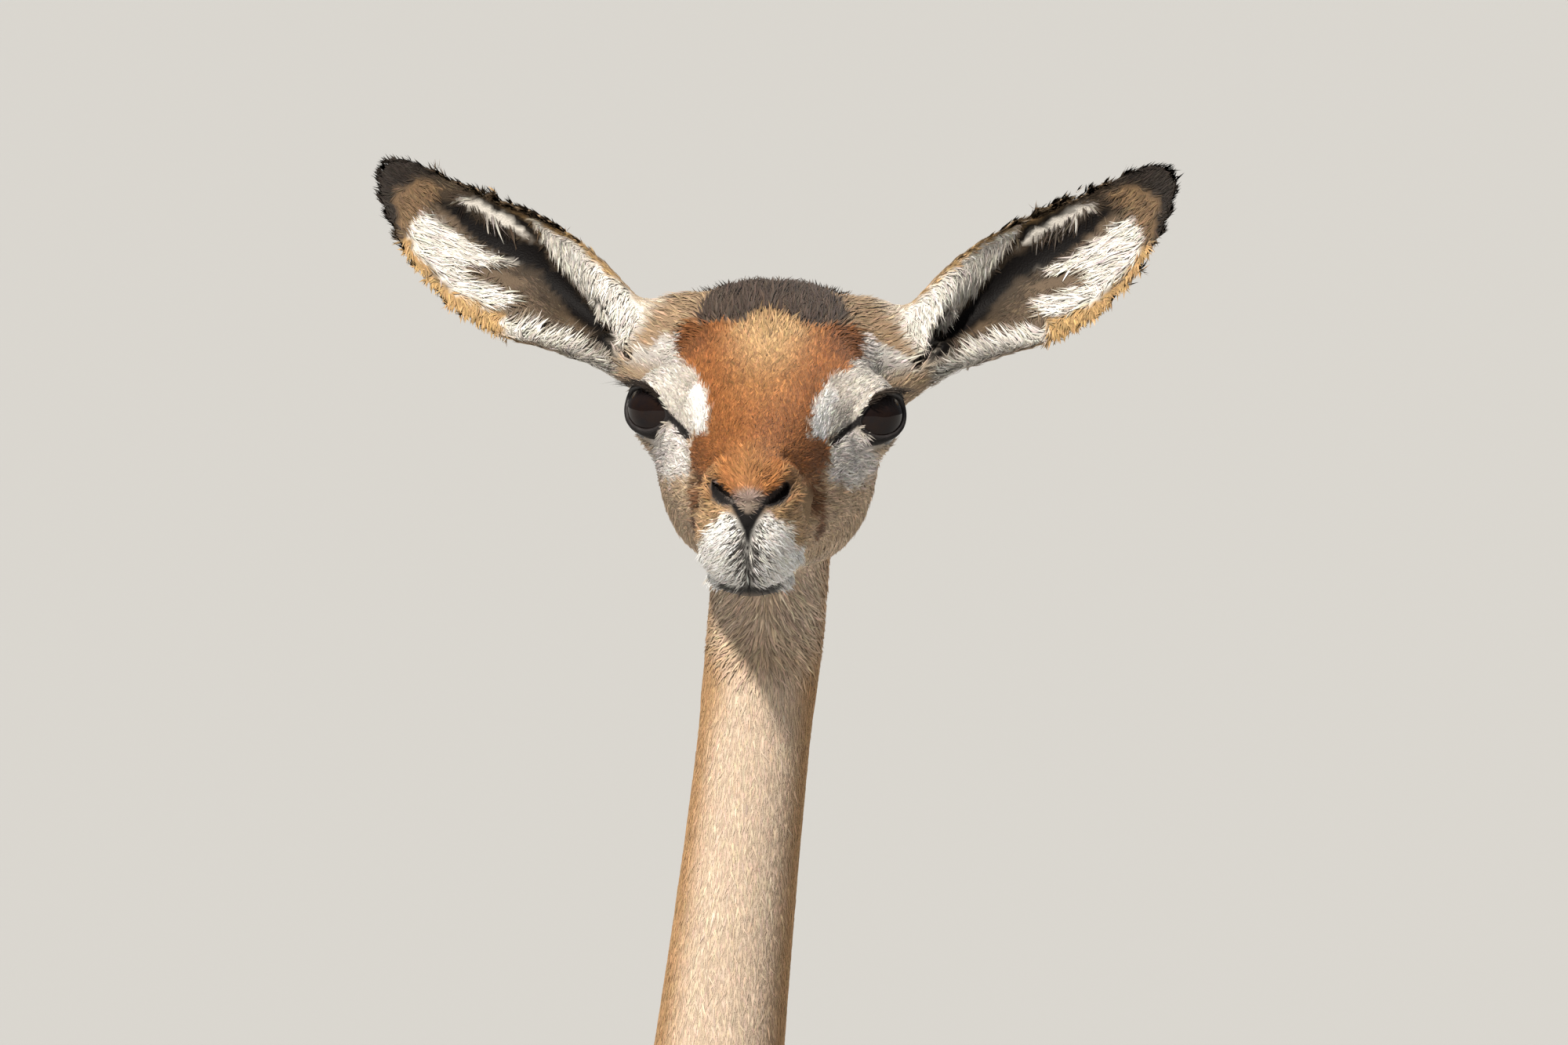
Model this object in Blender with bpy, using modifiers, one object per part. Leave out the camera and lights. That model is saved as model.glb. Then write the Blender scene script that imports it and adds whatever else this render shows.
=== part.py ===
"""A life-size female gerenuk standing with raised head and spread ears, as closed solids in metres.

The animal faces -Y, its left side is +X and the floor is Z = 0. It is modelled whole and parted with thin cuts.
"""

import math

import bmesh
import bpy
import numpy as np
from mathutils import Matrix, Vector

# Driving dimensions of the animal
CM = 0.01
EYE_HEIGHT = 1.37
NOSE_DROP_DEG = 15.0
HEAD_YAW_DEG = -2.7
HEAD_ROLL_DEG = 1.5
TRUNK_X = -0.045
TRUNK_Y = -0.262
EYE_Y = TRUNK_Y - 0.112
FLOOR = 0.0

# Parting of the nodes
GAP = 0.0003
BODY_VOXEL = 0.0048
HEAD_VOXEL = 0.0021
BODY_FACES = 5500
HEAD_FACES = 3750

# Eye and lids, in centimetres and degrees
EYE_RADIUS = 1.5
EYE_SIDE = 3.92
EYE_UP = 0.1
EYE_TURN_DEG = 60.0
LID_WIDE_DEG = 62.0
LID_HIGH_DEG = 41.0
LID_THICK = 0.2
LID_TILT = 0.42

# Ear, in centimetres, seen from the front: across, up and towards the viewer
VIEW_TILT_DEG = 17.0
EAR_ROOT = (5.24, 2.2, -5.4)
EAR_AXIS = (10.5, 7.6, -3.4)
EAR_LEAN = (-0.35, 0.25)
EAR_LENGTH = 13.4
EAR_WALL = 0.32
EAR_CUT = 1.7
EAR_PAD = (3.5, 3.25, -6.2)
EAR_PAD_SIZE = (1.85, 2.1, 1.75)

# Feet, in centimetres
HOOF_HEIGHT = 3.4
HOOF_LENGTH = 5.4
HOOF_WIDTH = 1.55
HOOF_SPLIT = 0.16
DEW_CLAW_RADIUS = 0.65
DEW_CLAW_STRETCH = (0.8, 0.9, 1.7)
DEW_CLAW_PLACE = (0.95, 3.75, 8.3)

# Tail and its tuft, in centimetres
TAIL_TOP = 86.0
TAIL_LENGTH = 26.0
TAIL_DROOP = 1.15
TAIL_ROOT_Y = 70.3
TAIL_STAND_OFF = 4.6
TAIL_HALF_WIDTH = (1.35, 0.6)
TUFT_SHARE = 0.62
LOCK_TIERS = 3
LOCKS_ROUND = 6
LOCK_LENGTH = (5.0, 6.2)
LOCK_HALF_WIDTH = 0.55
LOCK_HALF_THICK = 0.18
LOCK_BOW = 0.45
LOCK_FLARE = 1.1
LOCK_FIRST_DROP = 1.4
LOCK_TIER_DROP = 2.4

HEAD_FRAME = (
    Matrix.Translation((0.0, EYE_Y, EYE_HEIGHT))
    @ Matrix.Rotation(math.radians(HEAD_YAW_DEG), 4, "Z")
    @ Matrix.Rotation(math.radians(HEAD_ROLL_DEG), 4, "Y")
    @ Matrix.Rotation(math.radians(NOSE_DROP_DEG), 4, "X")
)


def clear_scene():
    """Removes every object and makes the two collections."""
    for old in list(bpy.data.objects):
        bpy.data.objects.remove(old)
    made = []
    for name in ("gerenuk", "cutters"):
        collection = bpy.data.collections.new(name)
        bpy.context.scene.collection.children.link(collection)
        made.append(collection)
    return made


PARTS, CUTTERS = clear_scene()


def material(name, colour, roughness):
    """A plain Principled material for one kind of surface."""
    made = bpy.data.materials.new(name)
    made.use_nodes = True
    shader = made.node_tree.nodes["Principled BSDF"]
    shader.inputs["Base Color"].default_value = (*colour, 1.0)
    shader.inputs["Roughness"].default_value = roughness
    shader.inputs["Metallic"].default_value = 0.0
    return made


FAWN = material("fawn_coat", (0.45, 0.24, 0.11), 0.85)
CHESTNUT = material("face_coat", (0.42, 0.18, 0.07), 0.85)
EAR_COAT = material("ear_coat", (0.50, 0.38, 0.27), 0.85)
BLACK_TUFT = material("tail_tuft", (0.03, 0.025, 0.02), 0.8)
HOOF_HORN = material("hoof_horn", (0.05, 0.045, 0.04), 0.45)
DARK_EYE = material("eye", (0.02, 0.012, 0.008), 0.08)


def new_object(name, mesh, coat, collection=PARTS):
    """An object for a mesh, in its collection, with its material and smooth shading."""
    made = bpy.data.objects.new(name, mesh)
    collection.objects.link(made)
    if coat is not None:
        mesh.materials.clear()
        mesh.materials.append(coat)
        mesh.shade_smooth()
    return made


def points_of(mesh):
    """The vertices of a mesh as an array."""
    flat = np.empty(len(mesh.vertices) * 3)
    mesh.vertices.foreach_get("co", flat)
    return flat.reshape(-1, 3)


def set_points(mesh, points):
    """Writes an array of vertices back to a mesh."""
    mesh.vertices.foreach_set("co", points.astype(np.float32).ravel())
    mesh.update()


def smooth_rows(rows, steps):
    """Rows of a curve that runs smoothly through the rows of a table, `steps` for each gap."""
    table = np.array(rows, float)
    ends = np.vstack([2 * table[0] - table[1], table, 2 * table[-1] - table[-2]])
    made = []
    for k in range(len(table) - 1):
        before, start, end, after = ends[k : k + 4]
        for t in np.arange(steps) / steps:
            made.append(
                0.5
                * (
                    2 * start
                    + (end - before) * t
                    + (2 * before - 5 * start + 4 * end - after) * t * t
                    + (3 * start - before - 3 * end + after) * t**3
                )
            )
    made.append(table[-1])
    return np.array(made)


def oval(count, half_width, rise, drop, crown=2.0, keel=2.0):
    """One cross-section as (across, up) pairs, with its own height and squareness above and below."""
    made = []
    for k in range(count):
        angle = 2 * math.pi * k / count
        side, up = math.cos(angle), math.sin(angle)
        power, height = (crown, rise) if up >= 0 else (keel, drop)
        across = half_width * math.copysign(abs(side) ** (2 / power), side)
        made.append((across, height * math.copysign(abs(up) ** (2 / power), up)))
    return made


def loft(name, rings):
    """A closed mesh through rings of equal count, with a flat fan at each end."""
    shape = bmesh.new()
    count = len(rings[0])
    loops = [[shape.verts.new(p) for p in ring] for ring in rings]
    for low, high in zip(loops, loops[1:]):
        for k in range(count):
            n = (k + 1) % count
            shape.faces.new((low[k], low[n], high[n], high[k]))
    for loop, turned in ((loops[0], True), (loops[-1], False)):
        middle = shape.verts.new(sum((v.co for v in loop), Vector()) / count)
        for k in range(count):
            pair = (loop[k], loop[(k + 1) % count])
            shape.faces.new((middle, *(pair[::-1] if turned else pair)))
    bmesh.ops.recalc_face_normals(shape, faces=shape.faces)
    mesh = bpy.data.meshes.new(name)
    shape.to_mesh(mesh)
    shape.free()
    return mesh


def upright(rows, count=20, steps=4, mirror=1):
    """A loft with level cross-sections. A row is z, x, y, half width, front and back reach, in centimetres."""
    rings = []
    for z, x, y, half, front, back in smooth_rows(rows, steps) * CM:
        section = oval(count, half, back, front)
        rings.append([(TRUNK_X + mirror * (x + p), TRUNK_Y + y + q, z) for p, q in section])
    return loft("upright", rings)


def lengthwise(rows, count=28, steps=4):
    """A loft with upright cross-sections. A row is y, half width, top, widest level and bottom, in centimetres."""
    rings = []
    for y, half, top, middle, bottom in smooth_rows(rows, steps) * CM:
        section = oval(count, half, top - middle, middle - bottom, 2.2, 2.3)
        rings.append([(TRUNK_X + p, TRUNK_Y + y, middle + q) for p, q in section])
    return loft("lengthwise", rings)


def joined(meshes):
    """One mesh that holds several."""
    shape = bmesh.new()
    for mesh in meshes:
        shape.from_mesh(mesh)
        bpy.data.meshes.remove(mesh)
    made = bpy.data.meshes.new("joined")
    shape.to_mesh(made)
    shape.free()
    return made


def with_modifier(mesh, kind, **values):
    """The mesh after one modifier."""
    carrier = bpy.data.objects.new("carrier", mesh)
    CUTTERS.objects.link(carrier)
    modifier = carrier.modifiers.new(kind, kind)
    for key, value in values.items():
        setattr(modifier, key, value)
    bpy.context.view_layer.update()
    graph = bpy.context.evaluated_depsgraph_get()
    made = bpy.data.meshes.new_from_object(carrier.evaluated_get(graph))
    bpy.data.objects.remove(carrier)
    return made


def neighbour_means(mesh, points):
    """For each vertex, the mean place of the vertices that it shares an edge with."""
    ends = np.empty(len(mesh.edges) * 2, np.int64)
    mesh.edges.foreach_get("vertices", ends)
    first, second = ends.reshape(-1, 2).T
    start, end = np.concatenate([first, second]), np.concatenate([second, first])
    count = np.bincount(start, minlength=len(points))
    sums = [np.bincount(start, weights=points[end, axis], minlength=len(points)) for axis in range(3)]
    return np.stack(sums, 1) / np.maximum(count, 1)[:, None]


def soften(mesh, rounds, weight=1.0, keep_size=True):
    """Smooths a mesh. With keep_size every second round grows it back, so that thin limbs stay as thick."""
    points = points_of(mesh)
    weight = np.broadcast_to(np.asarray(weight, float).reshape(-1, 1), (len(points), 1))
    for _ in range(rounds):
        points = points + 0.5 * weight * (neighbour_means(mesh, points) - points)
        if keep_size:
            points = points - 0.52 * weight * (neighbour_means(mesh, points) - points)
    set_points(mesh, points)


def ease(value, low, high):
    """0 below low, 1 above high, and a smooth rise between."""
    t = np.clip((value - low) / (high - low), 0.0, 1.0)
    return t * t * (3 - 2 * t)


def nearness(points, centre, reach):
    """1 at the centre of an ellipsoid, easing to 0 at its surface."""
    distance = np.linalg.norm((points - np.array(centre)) / np.array(reach), axis=1)
    return 1.0 - ease(distance, 0.0, 1.0)


def largest_body(mesh):
    """Keeps only the largest closed surface of a mesh."""
    shape = bmesh.new()
    shape.from_mesh(mesh)
    left = set(shape.verts)
    groups = []
    while left:
        found = [left.pop()]
        group = set(found)
        while found:
            for edge in found.pop().link_edges:
                for vertex in edge.verts:
                    if vertex in left:
                        left.discard(vertex)
                        group.add(vertex)
                        found.append(vertex)
        groups.append(group)
    groups.sort(key=len)
    loose = [vertex for group in groups[:-1] for vertex in group]
    bmesh.ops.delete(shape, geom=loose, context="VERTS")
    shape.to_mesh(mesh)
    shape.free()
    return mesh


def slab(place, turn, size):
    """A box mesh of this size, turned and moved into place."""
    shape = bmesh.new()
    bmesh.ops.create_cube(shape, size=1.0)
    bmesh.ops.scale(shape, vec=size, verts=shape.verts)
    bmesh.ops.transform(shape, matrix=Matrix.Translation(place) @ turn.to_4x4(), verts=shape.verts)
    mesh = bpy.data.meshes.new("slab")
    shape.to_mesh(mesh)
    shape.free()
    return mesh


def ball(centre, radius, columns, rows):
    """A sphere mesh."""
    shape = bmesh.new()
    bmesh.ops.create_uvsphere(shape, u_segments=columns, v_segments=rows, radius=radius)
    bmesh.ops.translate(shape, vec=centre, verts=shape.verts)
    mesh = bpy.data.meshes.new("ball")
    shape.to_mesh(mesh)
    shape.free()
    return mesh


def combined(mesh, other, operation):
    """The mesh after a Boolean with another one."""
    tool = new_object("tool", other, None, CUTTERS)
    tool.hide_render = True
    tool.display_type = "WIRE"
    made = with_modifier(mesh, "BOOLEAN", operation=operation, object=tool, solver="MANIFOLD")
    bpy.data.objects.remove(tool)
    return largest_body(made)


def half_of(mesh, place, normal):
    """The part of a closed mesh on the side of a plane that the normal points to, closed again."""
    shape = bmesh.new()
    shape.from_mesh(mesh)
    everything = shape.verts[:] + shape.edges[:] + shape.faces[:]
    cut = bmesh.ops.bisect_plane(
        shape, geom=everything, dist=1e-7, plane_co=place, plane_no=normal, clear_inner=True
    )
    rim = [item for item in cut["geom_cut"] if isinstance(item, bmesh.types.BMEdge)]
    bmesh.ops.triangle_fill(shape, edges=rim, use_beauty=True)
    bmesh.ops.recalc_face_normals(shape, faces=shape.faces)
    made = bpy.data.meshes.new("half")
    shape.to_mesh(made)
    shape.free()
    return made


def parted(mesh, place, normal):
    """The two parts of a mesh on either side of a plane, half a gap clear of it: ahead of the normal, then behind."""
    place, normal = Vector(place), Vector(normal).normalized()
    ahead = half_of(mesh, place + normal * GAP / 2, normal)
    behind = half_of(mesh, place - normal * GAP / 2, -normal)
    return ahead, behind


# Trunk, neck and legs

TRUNK = (
    # y, half width, top, widest level, bottom
    (-0.9, 1.5, 81.0, 77.0, 73.5),
    (1.2, 4.8, 85.5, 76.5, 69.3),
    (4.6, 7.2, 89.5, 76.8, 67.0),
    (10.0, 8.8, 92.8, 78.5, 65.8),
    (18.0, 9.9, 92.4, 78.5, 65.4),
    (27.0, 11.0, 91.2, 78.0, 65.4),
    (36.0, 11.6, 90.4, 77.5, 65.8),
    (45.0, 11.2, 90.4, 78.5, 67.4),
    (53.0, 10.0, 91.2, 81.0, 70.2),
    (60.0, 9.4, 91.6, 82.5, 72.2),
    (66.0, 8.2, 90.2, 82.0, 72.5),
    (70.0, 5.6, 87.6, 81.5, 74.0),
    (72.0, 2.0, 84.5, 81.0, 77.0),
)
NECK = (
    # z, x, y, half width, front, back
    (80.0, 0.0, 9.0, 6.6, 8.6, 11.0),
    (86.0, 0.1, 7.4, 5.9, 8.0, 9.4),
    (92.0, 0.5, 5.4, 4.9, 7.3, 8.0),
    (98.0, 1.15, 3.6, 3.95, 6.0, 6.8),
    (105.0, 1.95, 1.6, 3.2, 4.9, 5.6),
    (113.0, 2.85, -0.3, 2.7, 4.2, 4.6),
    (121.0, 3.75, -2.0, 2.45, 3.8, 4.1),
    (129.0, 4.6, -3.4, 2.38, 3.7, 4.0),
    (134.0, 4.75, -4.1, 2.5, 3.8, 4.0),
    (138.0, 4.7, -4.4, 2.3, 3.0, 3.4),
)
SHOULDER = (
    (90.5, 3.4, 12.0, 2.4, 3.4, 4.6),
    (86.0, 5.0, 10.4, 3.4, 5.2, 6.8),
    (80.0, 6.0, 8.6, 3.7, 6.6, 7.6),
    (73.0, 6.2, 9.6, 3.6, 6.0, 6.4),
    (67.0, 6.0, 12.0, 3.1, 4.9, 4.6),
    (61.5, 5.8, 12.9, 2.6, 3.8, 3.3),
    (55.0, 5.7, 13.1, 2.1, 3.0, 2.4),
    (48.0, 5.6, 13.0, 1.65, 2.2, 1.8),
    (41.5, 5.55, 12.9, 1.5, 1.75, 1.6),
    (37.5, 5.5, 12.9, 1.85, 2.15, 1.8),
    (34.5, 5.5, 12.9, 1.8, 2.0, 1.9),
    (31.0, 5.5, 13.1, 1.3, 1.4, 1.5),
    (24.0, 5.5, 13.2, 1.05, 1.15, 1.3),
    (16.0, 5.5, 13.2, 1.1, 1.2, 1.35),
    (12.5, 5.5, 13.1, 1.4, 1.55, 1.8),
    (10.0, 5.5, 12.8, 1.5, 1.6, 2.0),
    (7.5, 5.5, 11.9, 1.3, 1.35, 1.45),
    (5.2, 5.5, 11.0, 1.45, 1.5, 1.6),
    (3.0, 5.5, 10.4, 1.6, 1.9, 1.9),
    (1.5, 5.5, 10.2, 1.6, 2.0, 1.9),
)
HAUNCH = (
    (89.5, 4.4, 60.0, 3.2, 5.5, 5.5),
    (85.0, 5.4, 60.5, 4.0, 8.4, 8.0),
    (79.0, 6.1, 59.6, 4.3, 9.6, 10.4),
    (72.0, 6.4, 57.8, 4.3, 9.6, 11.0),
    (65.0, 6.5, 57.0, 3.9, 8.2, 9.4),
    (58.0, 6.5, 58.2, 3.1, 6.0, 6.6),
    (51.0, 6.5, 61.2, 2.3, 4.3, 4.4),
    (45.5, 6.5, 64.2, 1.7, 2.8, 3.3),
    (42.0, 6.5, 65.9, 1.45, 2.2, 3.5),
    (39.5, 6.5, 66.9, 1.6, 2.4, 3.4),
    (36.5, 6.5, 67.9, 1.7, 2.4, 2.4),
    (33.5, 6.5, 68.2, 1.55, 1.9, 1.9),
    (30.0, 6.5, 68.2, 1.25, 1.45, 1.5),
    (23.0, 6.5, 67.9, 1.08, 1.2, 1.3),
    (15.5, 6.5, 67.5, 1.12, 1.25, 1.35),
    (12.3, 6.5, 67.3, 1.4, 1.55, 1.8),
    (9.8, 6.5, 66.9, 1.5, 1.6, 2.0),
    (7.4, 6.5, 66.0, 1.3, 1.35, 1.45),
    (5.2, 6.5, 65.1, 1.45, 1.5, 1.6),
    (3.0, 6.5, 64.5, 1.6, 1.9, 1.9),
    (1.5, 6.5, 64.3, 1.6, 2.0, 1.9),
)
# How far each leg steps ahead (-) or behind (+) at the foot, in centimetres, so that the stance is natural
STEP = {"fore_left": -2.6, "fore_right": 2.0, "hind_left": 2.8, "hind_right": -2.4}
STEP_TOP = {"fore": 66.0, "hind": 62.0}
ANKLE = 3.6


def stepped(rows, leg):
    """The rows of a leg, slid along Y in proportion to the depth below its elbow or stifle."""
    top = STEP_TOP[leg.split("_")[0]]
    made = []
    for z, x, y, half, front, back in rows:
        share = min(1.0, max(0.0, (top - z) / (top - ANKLE)))
        made.append((z, x, y + STEP[leg] * share, half, front, back))
    return made


def tail_height(share):
    """How high the tail hangs at a share of its length."""
    return TAIL_TOP - TAIL_LENGTH * share**TAIL_DROOP


def tail_back(share):
    """How far back the tail hangs at a share of its length."""
    return TAIL_ROOT_Y + TAIL_STAND_OFF * math.sin(min(1.0, share * 1.6) * math.pi / 2)


def tail_rows(end):
    """Rows of the tail as it hangs, from its root to a share of its length."""
    made = []
    root, tip = TAIL_HALF_WIDTH
    for share in np.linspace(0.0, end, 9):
        half = root + (tip - root) * share
        made.append((tail_height(share), 0.0, tail_back(share), half, half * 1.1, half * 1.1))
    return made


def whole_body():
    """Trunk, neck, four legs and the root of the tail as one soft skin."""
    meshes = [lengthwise(TRUNK), upright(NECK, 24), upright(tail_rows(0.45), 16, 2)]
    for side, mirror in (("left", 1), ("right", -1)):
        meshes.append(upright(stepped(SHOULDER, "fore_" + side), mirror=mirror))
        meshes.append(upright(stepped(HAUNCH, "hind_" + side), mirror=mirror))
    for leg in STEP:
        meshes += dew_claws(leg)
    mesh = with_modifier(joined(meshes), "REMESH", mode="VOXEL", voxel_size=BODY_VOXEL)
    largest_body(mesh)
    soften(mesh, 4)
    points = points_of(mesh)
    high = ease(points[:, 2], 0.56, 0.66)
    below_neck = 1.0 - ease(points[:, 2], 0.98, 1.06)
    soften(mesh, 18, 0.02 + 0.9 * high * below_neck, keep_size=False)
    return with_modifier(mesh, "DECIMATE", ratio=BODY_FACES / (2 * len(mesh.polygons)), use_collapse_triangulate=True)


def foot_place(leg):
    """The middle of a leg at its coronet, as (x, y) in metres."""
    front, side = leg.split("_")
    rows = stepped(SHOULDER if front == "fore" else HAUNCH, leg)
    _, x, y, *_ = min(rows, key=lambda row: abs(row[0] - ANKLE))
    return TRUNK_X + (x if side == "left" else -x) * CM, TRUNK_Y + y * CM


def dew_claws(leg):
    """The two small claws behind the fetlock of a leg."""
    x, y = foot_place(leg)
    out, back, up = (value * CM for value in DEW_CLAW_PLACE)
    made = []
    for side in (-1, 1):
        mesh = ball((0, 0, 0), DEW_CLAW_RADIUS * CM, 10, 8)
        stretch = Matrix.Diagonal((*DEW_CLAW_STRETCH, 1.0))
        mesh.transform(Matrix.Translation((x + side * out, y + back, up)) @ stretch)
        made.append(mesh)
    return made


# Head

SKULL = (
    # forward, half width, top, widest level, bottom, squareness above and below
    (12.75, 0.55, 0.55, -0.1, -0.75, 2.0, 2.0),
    (12.55, 1.05, 1.0, -0.5, -1.75, 2.1, 2.1),
    (12.15, 1.45, 1.45, -1.0, -2.85, 2.2, 2.2),
    (11.5, 1.8, 1.72, -1.5, -3.9, 2.3, 2.3),
    (10.6, 2.05, 1.9, -1.9, -4.45, 2.3, 2.4),
    (9.4, 2.15, 2.02, -1.9, -4.6, 2.3, 2.4),
    (8.0, 2.15, 2.12, -1.6, -4.55, 2.3, 2.3),
    (6.0, 2.45, 2.22, -1.2, -4.7, 2.4, 2.3),
    (4.0, 2.95, 2.35, -1.1, -5.25, 2.5, 2.3),
    (2.0, 3.65, 2.42, -1.2, -5.9, 2.6, 2.4),
    (0.0, 4.15, 2.5, -1.4, -6.5, 2.6, 2.6),
    (-2.0, 4.4, 2.8, -1.5, -6.85, 2.6, 2.8),
    (-4.0, 4.5, 3.2, -1.2, -6.6, 2.8, 2.6),
    (-6.0, 4.4, 3.35, -0.6, -5.6, 2.8, 2.3),
    (-8.0, 3.5, 2.7, -0.2, -4.2, 2.4, 2.1),
    (-9.4, 1.7, 1.0, -0.4, -2.2, 2.0, 2.0),
)
# Soft forms that stand out (+) or sink in (-) on each side: centre, reach and shift, each across, forward and up
FORMS = (
    ((4.0, -0.2, 0.2), (2.4, 3.2, 2.6), (0.75, 0.0, 0.0)),
    ((3.7, -0.5, 2.0), (2.0, 3.0, 1.6), (0.5, 0.0, 0.25)),
    ((3.2, 3.4, -1.9), (1.9, 2.8, 2.0), (0.3, 0.0, -0.1)),
    ((2.7, 3.6, 0.7), (1.4, 2.8, 1.5), (-0.25, 0.0, -0.05)),
    ((2.4, 6.8, -2.4), (1.4, 2.4, 1.6), (-0.25, 0.0, 0.0)),
    ((2.2, 9.8, -2.4), (1.2, 1.9, 1.6), (0.2, 0.1, 0.0)),
    ((1.4, 11.2, 1.3), (1.0, 1.5, 0.9), (0.22, 0.05, 0.25)),
    ((0.0, 9.0, 2.0), (1.4, 3.2, 1.2), (0.0, 0.0, 0.1)),
    ((0.0, -5.6, 3.0), (3.2, 2.8, 1.8), (0.0, 0.0, 0.5)),
)
MOUTH = (
    # across, forward, up, from the front of the lips to the corner
    (0.0, 12.0, -3.3),
    (0.9, 11.7, -3.4),
    (1.6, 11.0, -3.4),
    (2.0, 9.9, -3.2),
    (2.15, 8.5, -2.9),
    (2.2, 7.2, -2.5),
)
NOSTRIL = ((1.1, 12.2, 0.6), 0.62, 0.3, 36.0, 0.8)


def view_to_head(across, up, near):
    """A direction or place seen from the front, in the head's own axes: across, forward and up."""
    tilt = math.radians(VIEW_TILT_DEG)
    return Vector((across, near * math.cos(tilt) - up * math.sin(tilt), up * math.cos(tilt) + near * math.sin(tilt)))


def head_to_world(points):
    """Places in the head's axes, in centimetres, as places in the model, in metres."""
    local = np.asarray(points, float).reshape(-1, 3) * CM * np.array([1.0, -1.0, 1.0])
    turn = np.array(HEAD_FRAME)
    return local @ turn[:3, :3].T + turn[:3, 3]


def world_to_head(points):
    """The reverse of head_to_world."""
    turn = np.array(HEAD_FRAME.inverted())
    return (points @ turn[:3, :3].T + turn[:3, 3]) / CM * np.array([1.0, -1.0, 1.0])


def skull_mesh():
    """The long wedge of the head, from the nose to the back of the skull."""
    rings = []
    for forward, half, top, middle, bottom, crown, keel in smooth_rows(SKULL, 3):
        section = oval(28, half, top - middle, middle - bottom, crown, keel)
        rings.append([Vector(p) for p in head_to_world([(x, forward, middle + y) for x, y in section])])
    return loft("skull", rings)


def ear_frame(side):
    """The root and the three axes of an ear in the head's axes: along it, across to its lower edge, and facing."""
    root = view_to_head(*EAR_ROOT)
    reach, rise, near = EAR_AXIS
    along = view_to_head(reach + side * EAR_LEAN[0], rise + side * EAR_LEAN[1], near).normalized()
    facing = view_to_head(0.05, 0.0, 1.0)
    facing = (facing - along * facing.dot(along)).normalized()
    across = facing.cross(along).normalized()
    if across.z > 0:
        across = -across
    mirror = Vector((side, 1.0, 1.0))
    return [Vector(v * m for v, m in zip(axis, mirror)) for axis in (root, along, across, facing)]


EAR = (
    # share of the length, upper edge, lower edge, back, swell of the front, depth, place and width of the slit
    (-0.16, 1.8, 1.75, 1.5, 1.2, 0.0, 0.72, 0.16),
    (-0.05, 1.85, 1.8, 1.6, 1.15, 0.0, 0.72, 0.16),
    (0.04, 1.86, 1.72, 1.65, 1.05, 0.0, 0.7, 0.16),
    (0.12, 1.94, 1.75, 1.7, 0.9, 0.3, 0.6, 0.16),
    (0.16, 2.0, 1.85, 1.72, 0.8, 1.7, 0.55, 0.18),
    (0.21, 2.1, 2.05, 1.75, 0.7, 2.1, 0.51, 0.2),
    (0.28, 2.24, 2.4, 1.78, 0.5, 2.0, 0.46, 0.25),
    (0.38, 2.34, 2.88, 1.75, 0.25, 1.8, 0.4, 0.31),
    (0.54, 2.2, 3.2, 1.55, 0.05, 1.4, 0.34, 0.38),
    (0.65, 1.88, 3.02, 1.3, 0.0, 1.1, 0.34, 0.4),
    (0.75, 1.52, 2.72, 1.02, 0.0, 0.8, 0.35, 0.42),
    (0.84, 1.24, 2.22, 0.78, 0.0, 0.52, 0.36, 0.42),
    (0.91, 1.1, 1.76, 0.55, 0.0, 0.3, 0.4, 0.42),
    (0.96, 0.84, 1.28, 0.4, 0.0, 0.15, 0.45, 0.42),
    (0.99, 0.5, 0.8, 0.28, 0.0, 0.03, 0.5, 0.42),
    (1.0, 0.3, 0.45, 0.18, 0.0, -0.02, 0.5, 0.42),
)


def ear_section(row, count):
    """One closed section of an ear as (across, facing) pairs: along the back, then back along the inner face."""
    _, upper, lower, back, swell, depth, deepest, width = row
    lean = math.log(0.5) / math.log(min(0.6, max(0.4, deepest)))
    made = []
    for k in range(count + 1):
        v = k / count
        made.append((-upper + (lower + upper) * v, -back * math.sin(math.pi * v**lean) ** 0.62))
    for k in range(1, count):
        v = 1 - k / count
        inset = EAR_WALL * min(1.0, 5.0 * min(v, 1 - v))
        arch = math.sin(math.pi * v) ** 0.7
        slit = math.exp(-(((v - deepest) / width) ** 2)) * min(1.0, 3.4 * arch)
        made.append((inset - upper + (lower + upper - 2 * inset) * v, swell * arch - depth * slit))
    return made


def ear_mesh(side, count=11, steps=2):
    """An ear as one closed leaf with a cup."""
    root, along, across, facing = ear_frame(side)
    rings = []
    for row in smooth_rows(EAR, steps):
        centre = root + along * row[0] * EAR_LENGTH
        places = [centre + across * p + facing * q for p, q in ear_section(row, count)]
        rings.append([Vector(p) for p in head_to_world(places)])
    return loft("ear", rings)


EAR_BASE = (
    # reach along the ear, upper edge, lower edge, back, front
    (-4.6, 1.7, 1.2, 1.2, 1.0),
    (-3.2, 2.7, 1.7, 1.7, 1.1),
    (-2.0, 2.35, 1.85, 1.75, 1.15),
    (-1.0, 1.98, 1.82, 1.68, 1.2),
    (0.5, 1.88, 1.74, 1.65, 1.05),
    (1.7, 1.96, 1.78, 1.7, 0.88),
    (2.6, 2.06, 1.98, 1.74, 0.7),
)


def ear_plug(side):
    """The solid base of an ear, which grows out of the head."""
    root, along, across, facing = ear_frame(side)
    rings = []
    for reach, upper, lower, back, front in EAR_BASE:
        row = (0.0, upper, lower, back, front, 0.0, 0.5, 0.2)
        centre = root + along * reach
        places = [centre + across * p + facing * q for p, q in ear_section(row, 10)]
        rings.append([Vector(p) for p in head_to_world(places)])
    return loft("plug", rings)


def eye_place(side):
    """The middle of an eyeball in the head's axes."""
    return np.array([side * EYE_SIDE, 0.0, EYE_UP])


def eye_axes(side):
    """The gaze of an eye, the run of its lids towards the nose, and the way up across them."""
    turn = math.radians(EYE_TURN_DEG)
    gaze = np.array([side * math.sin(turn), math.cos(turn), 0.0])
    slit = np.array([-side * math.cos(turn), math.sin(turn), -LID_TILT])
    slit /= np.linalg.norm(slit)
    return gaze, slit, np.cross(slit, gaze) * side


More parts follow.
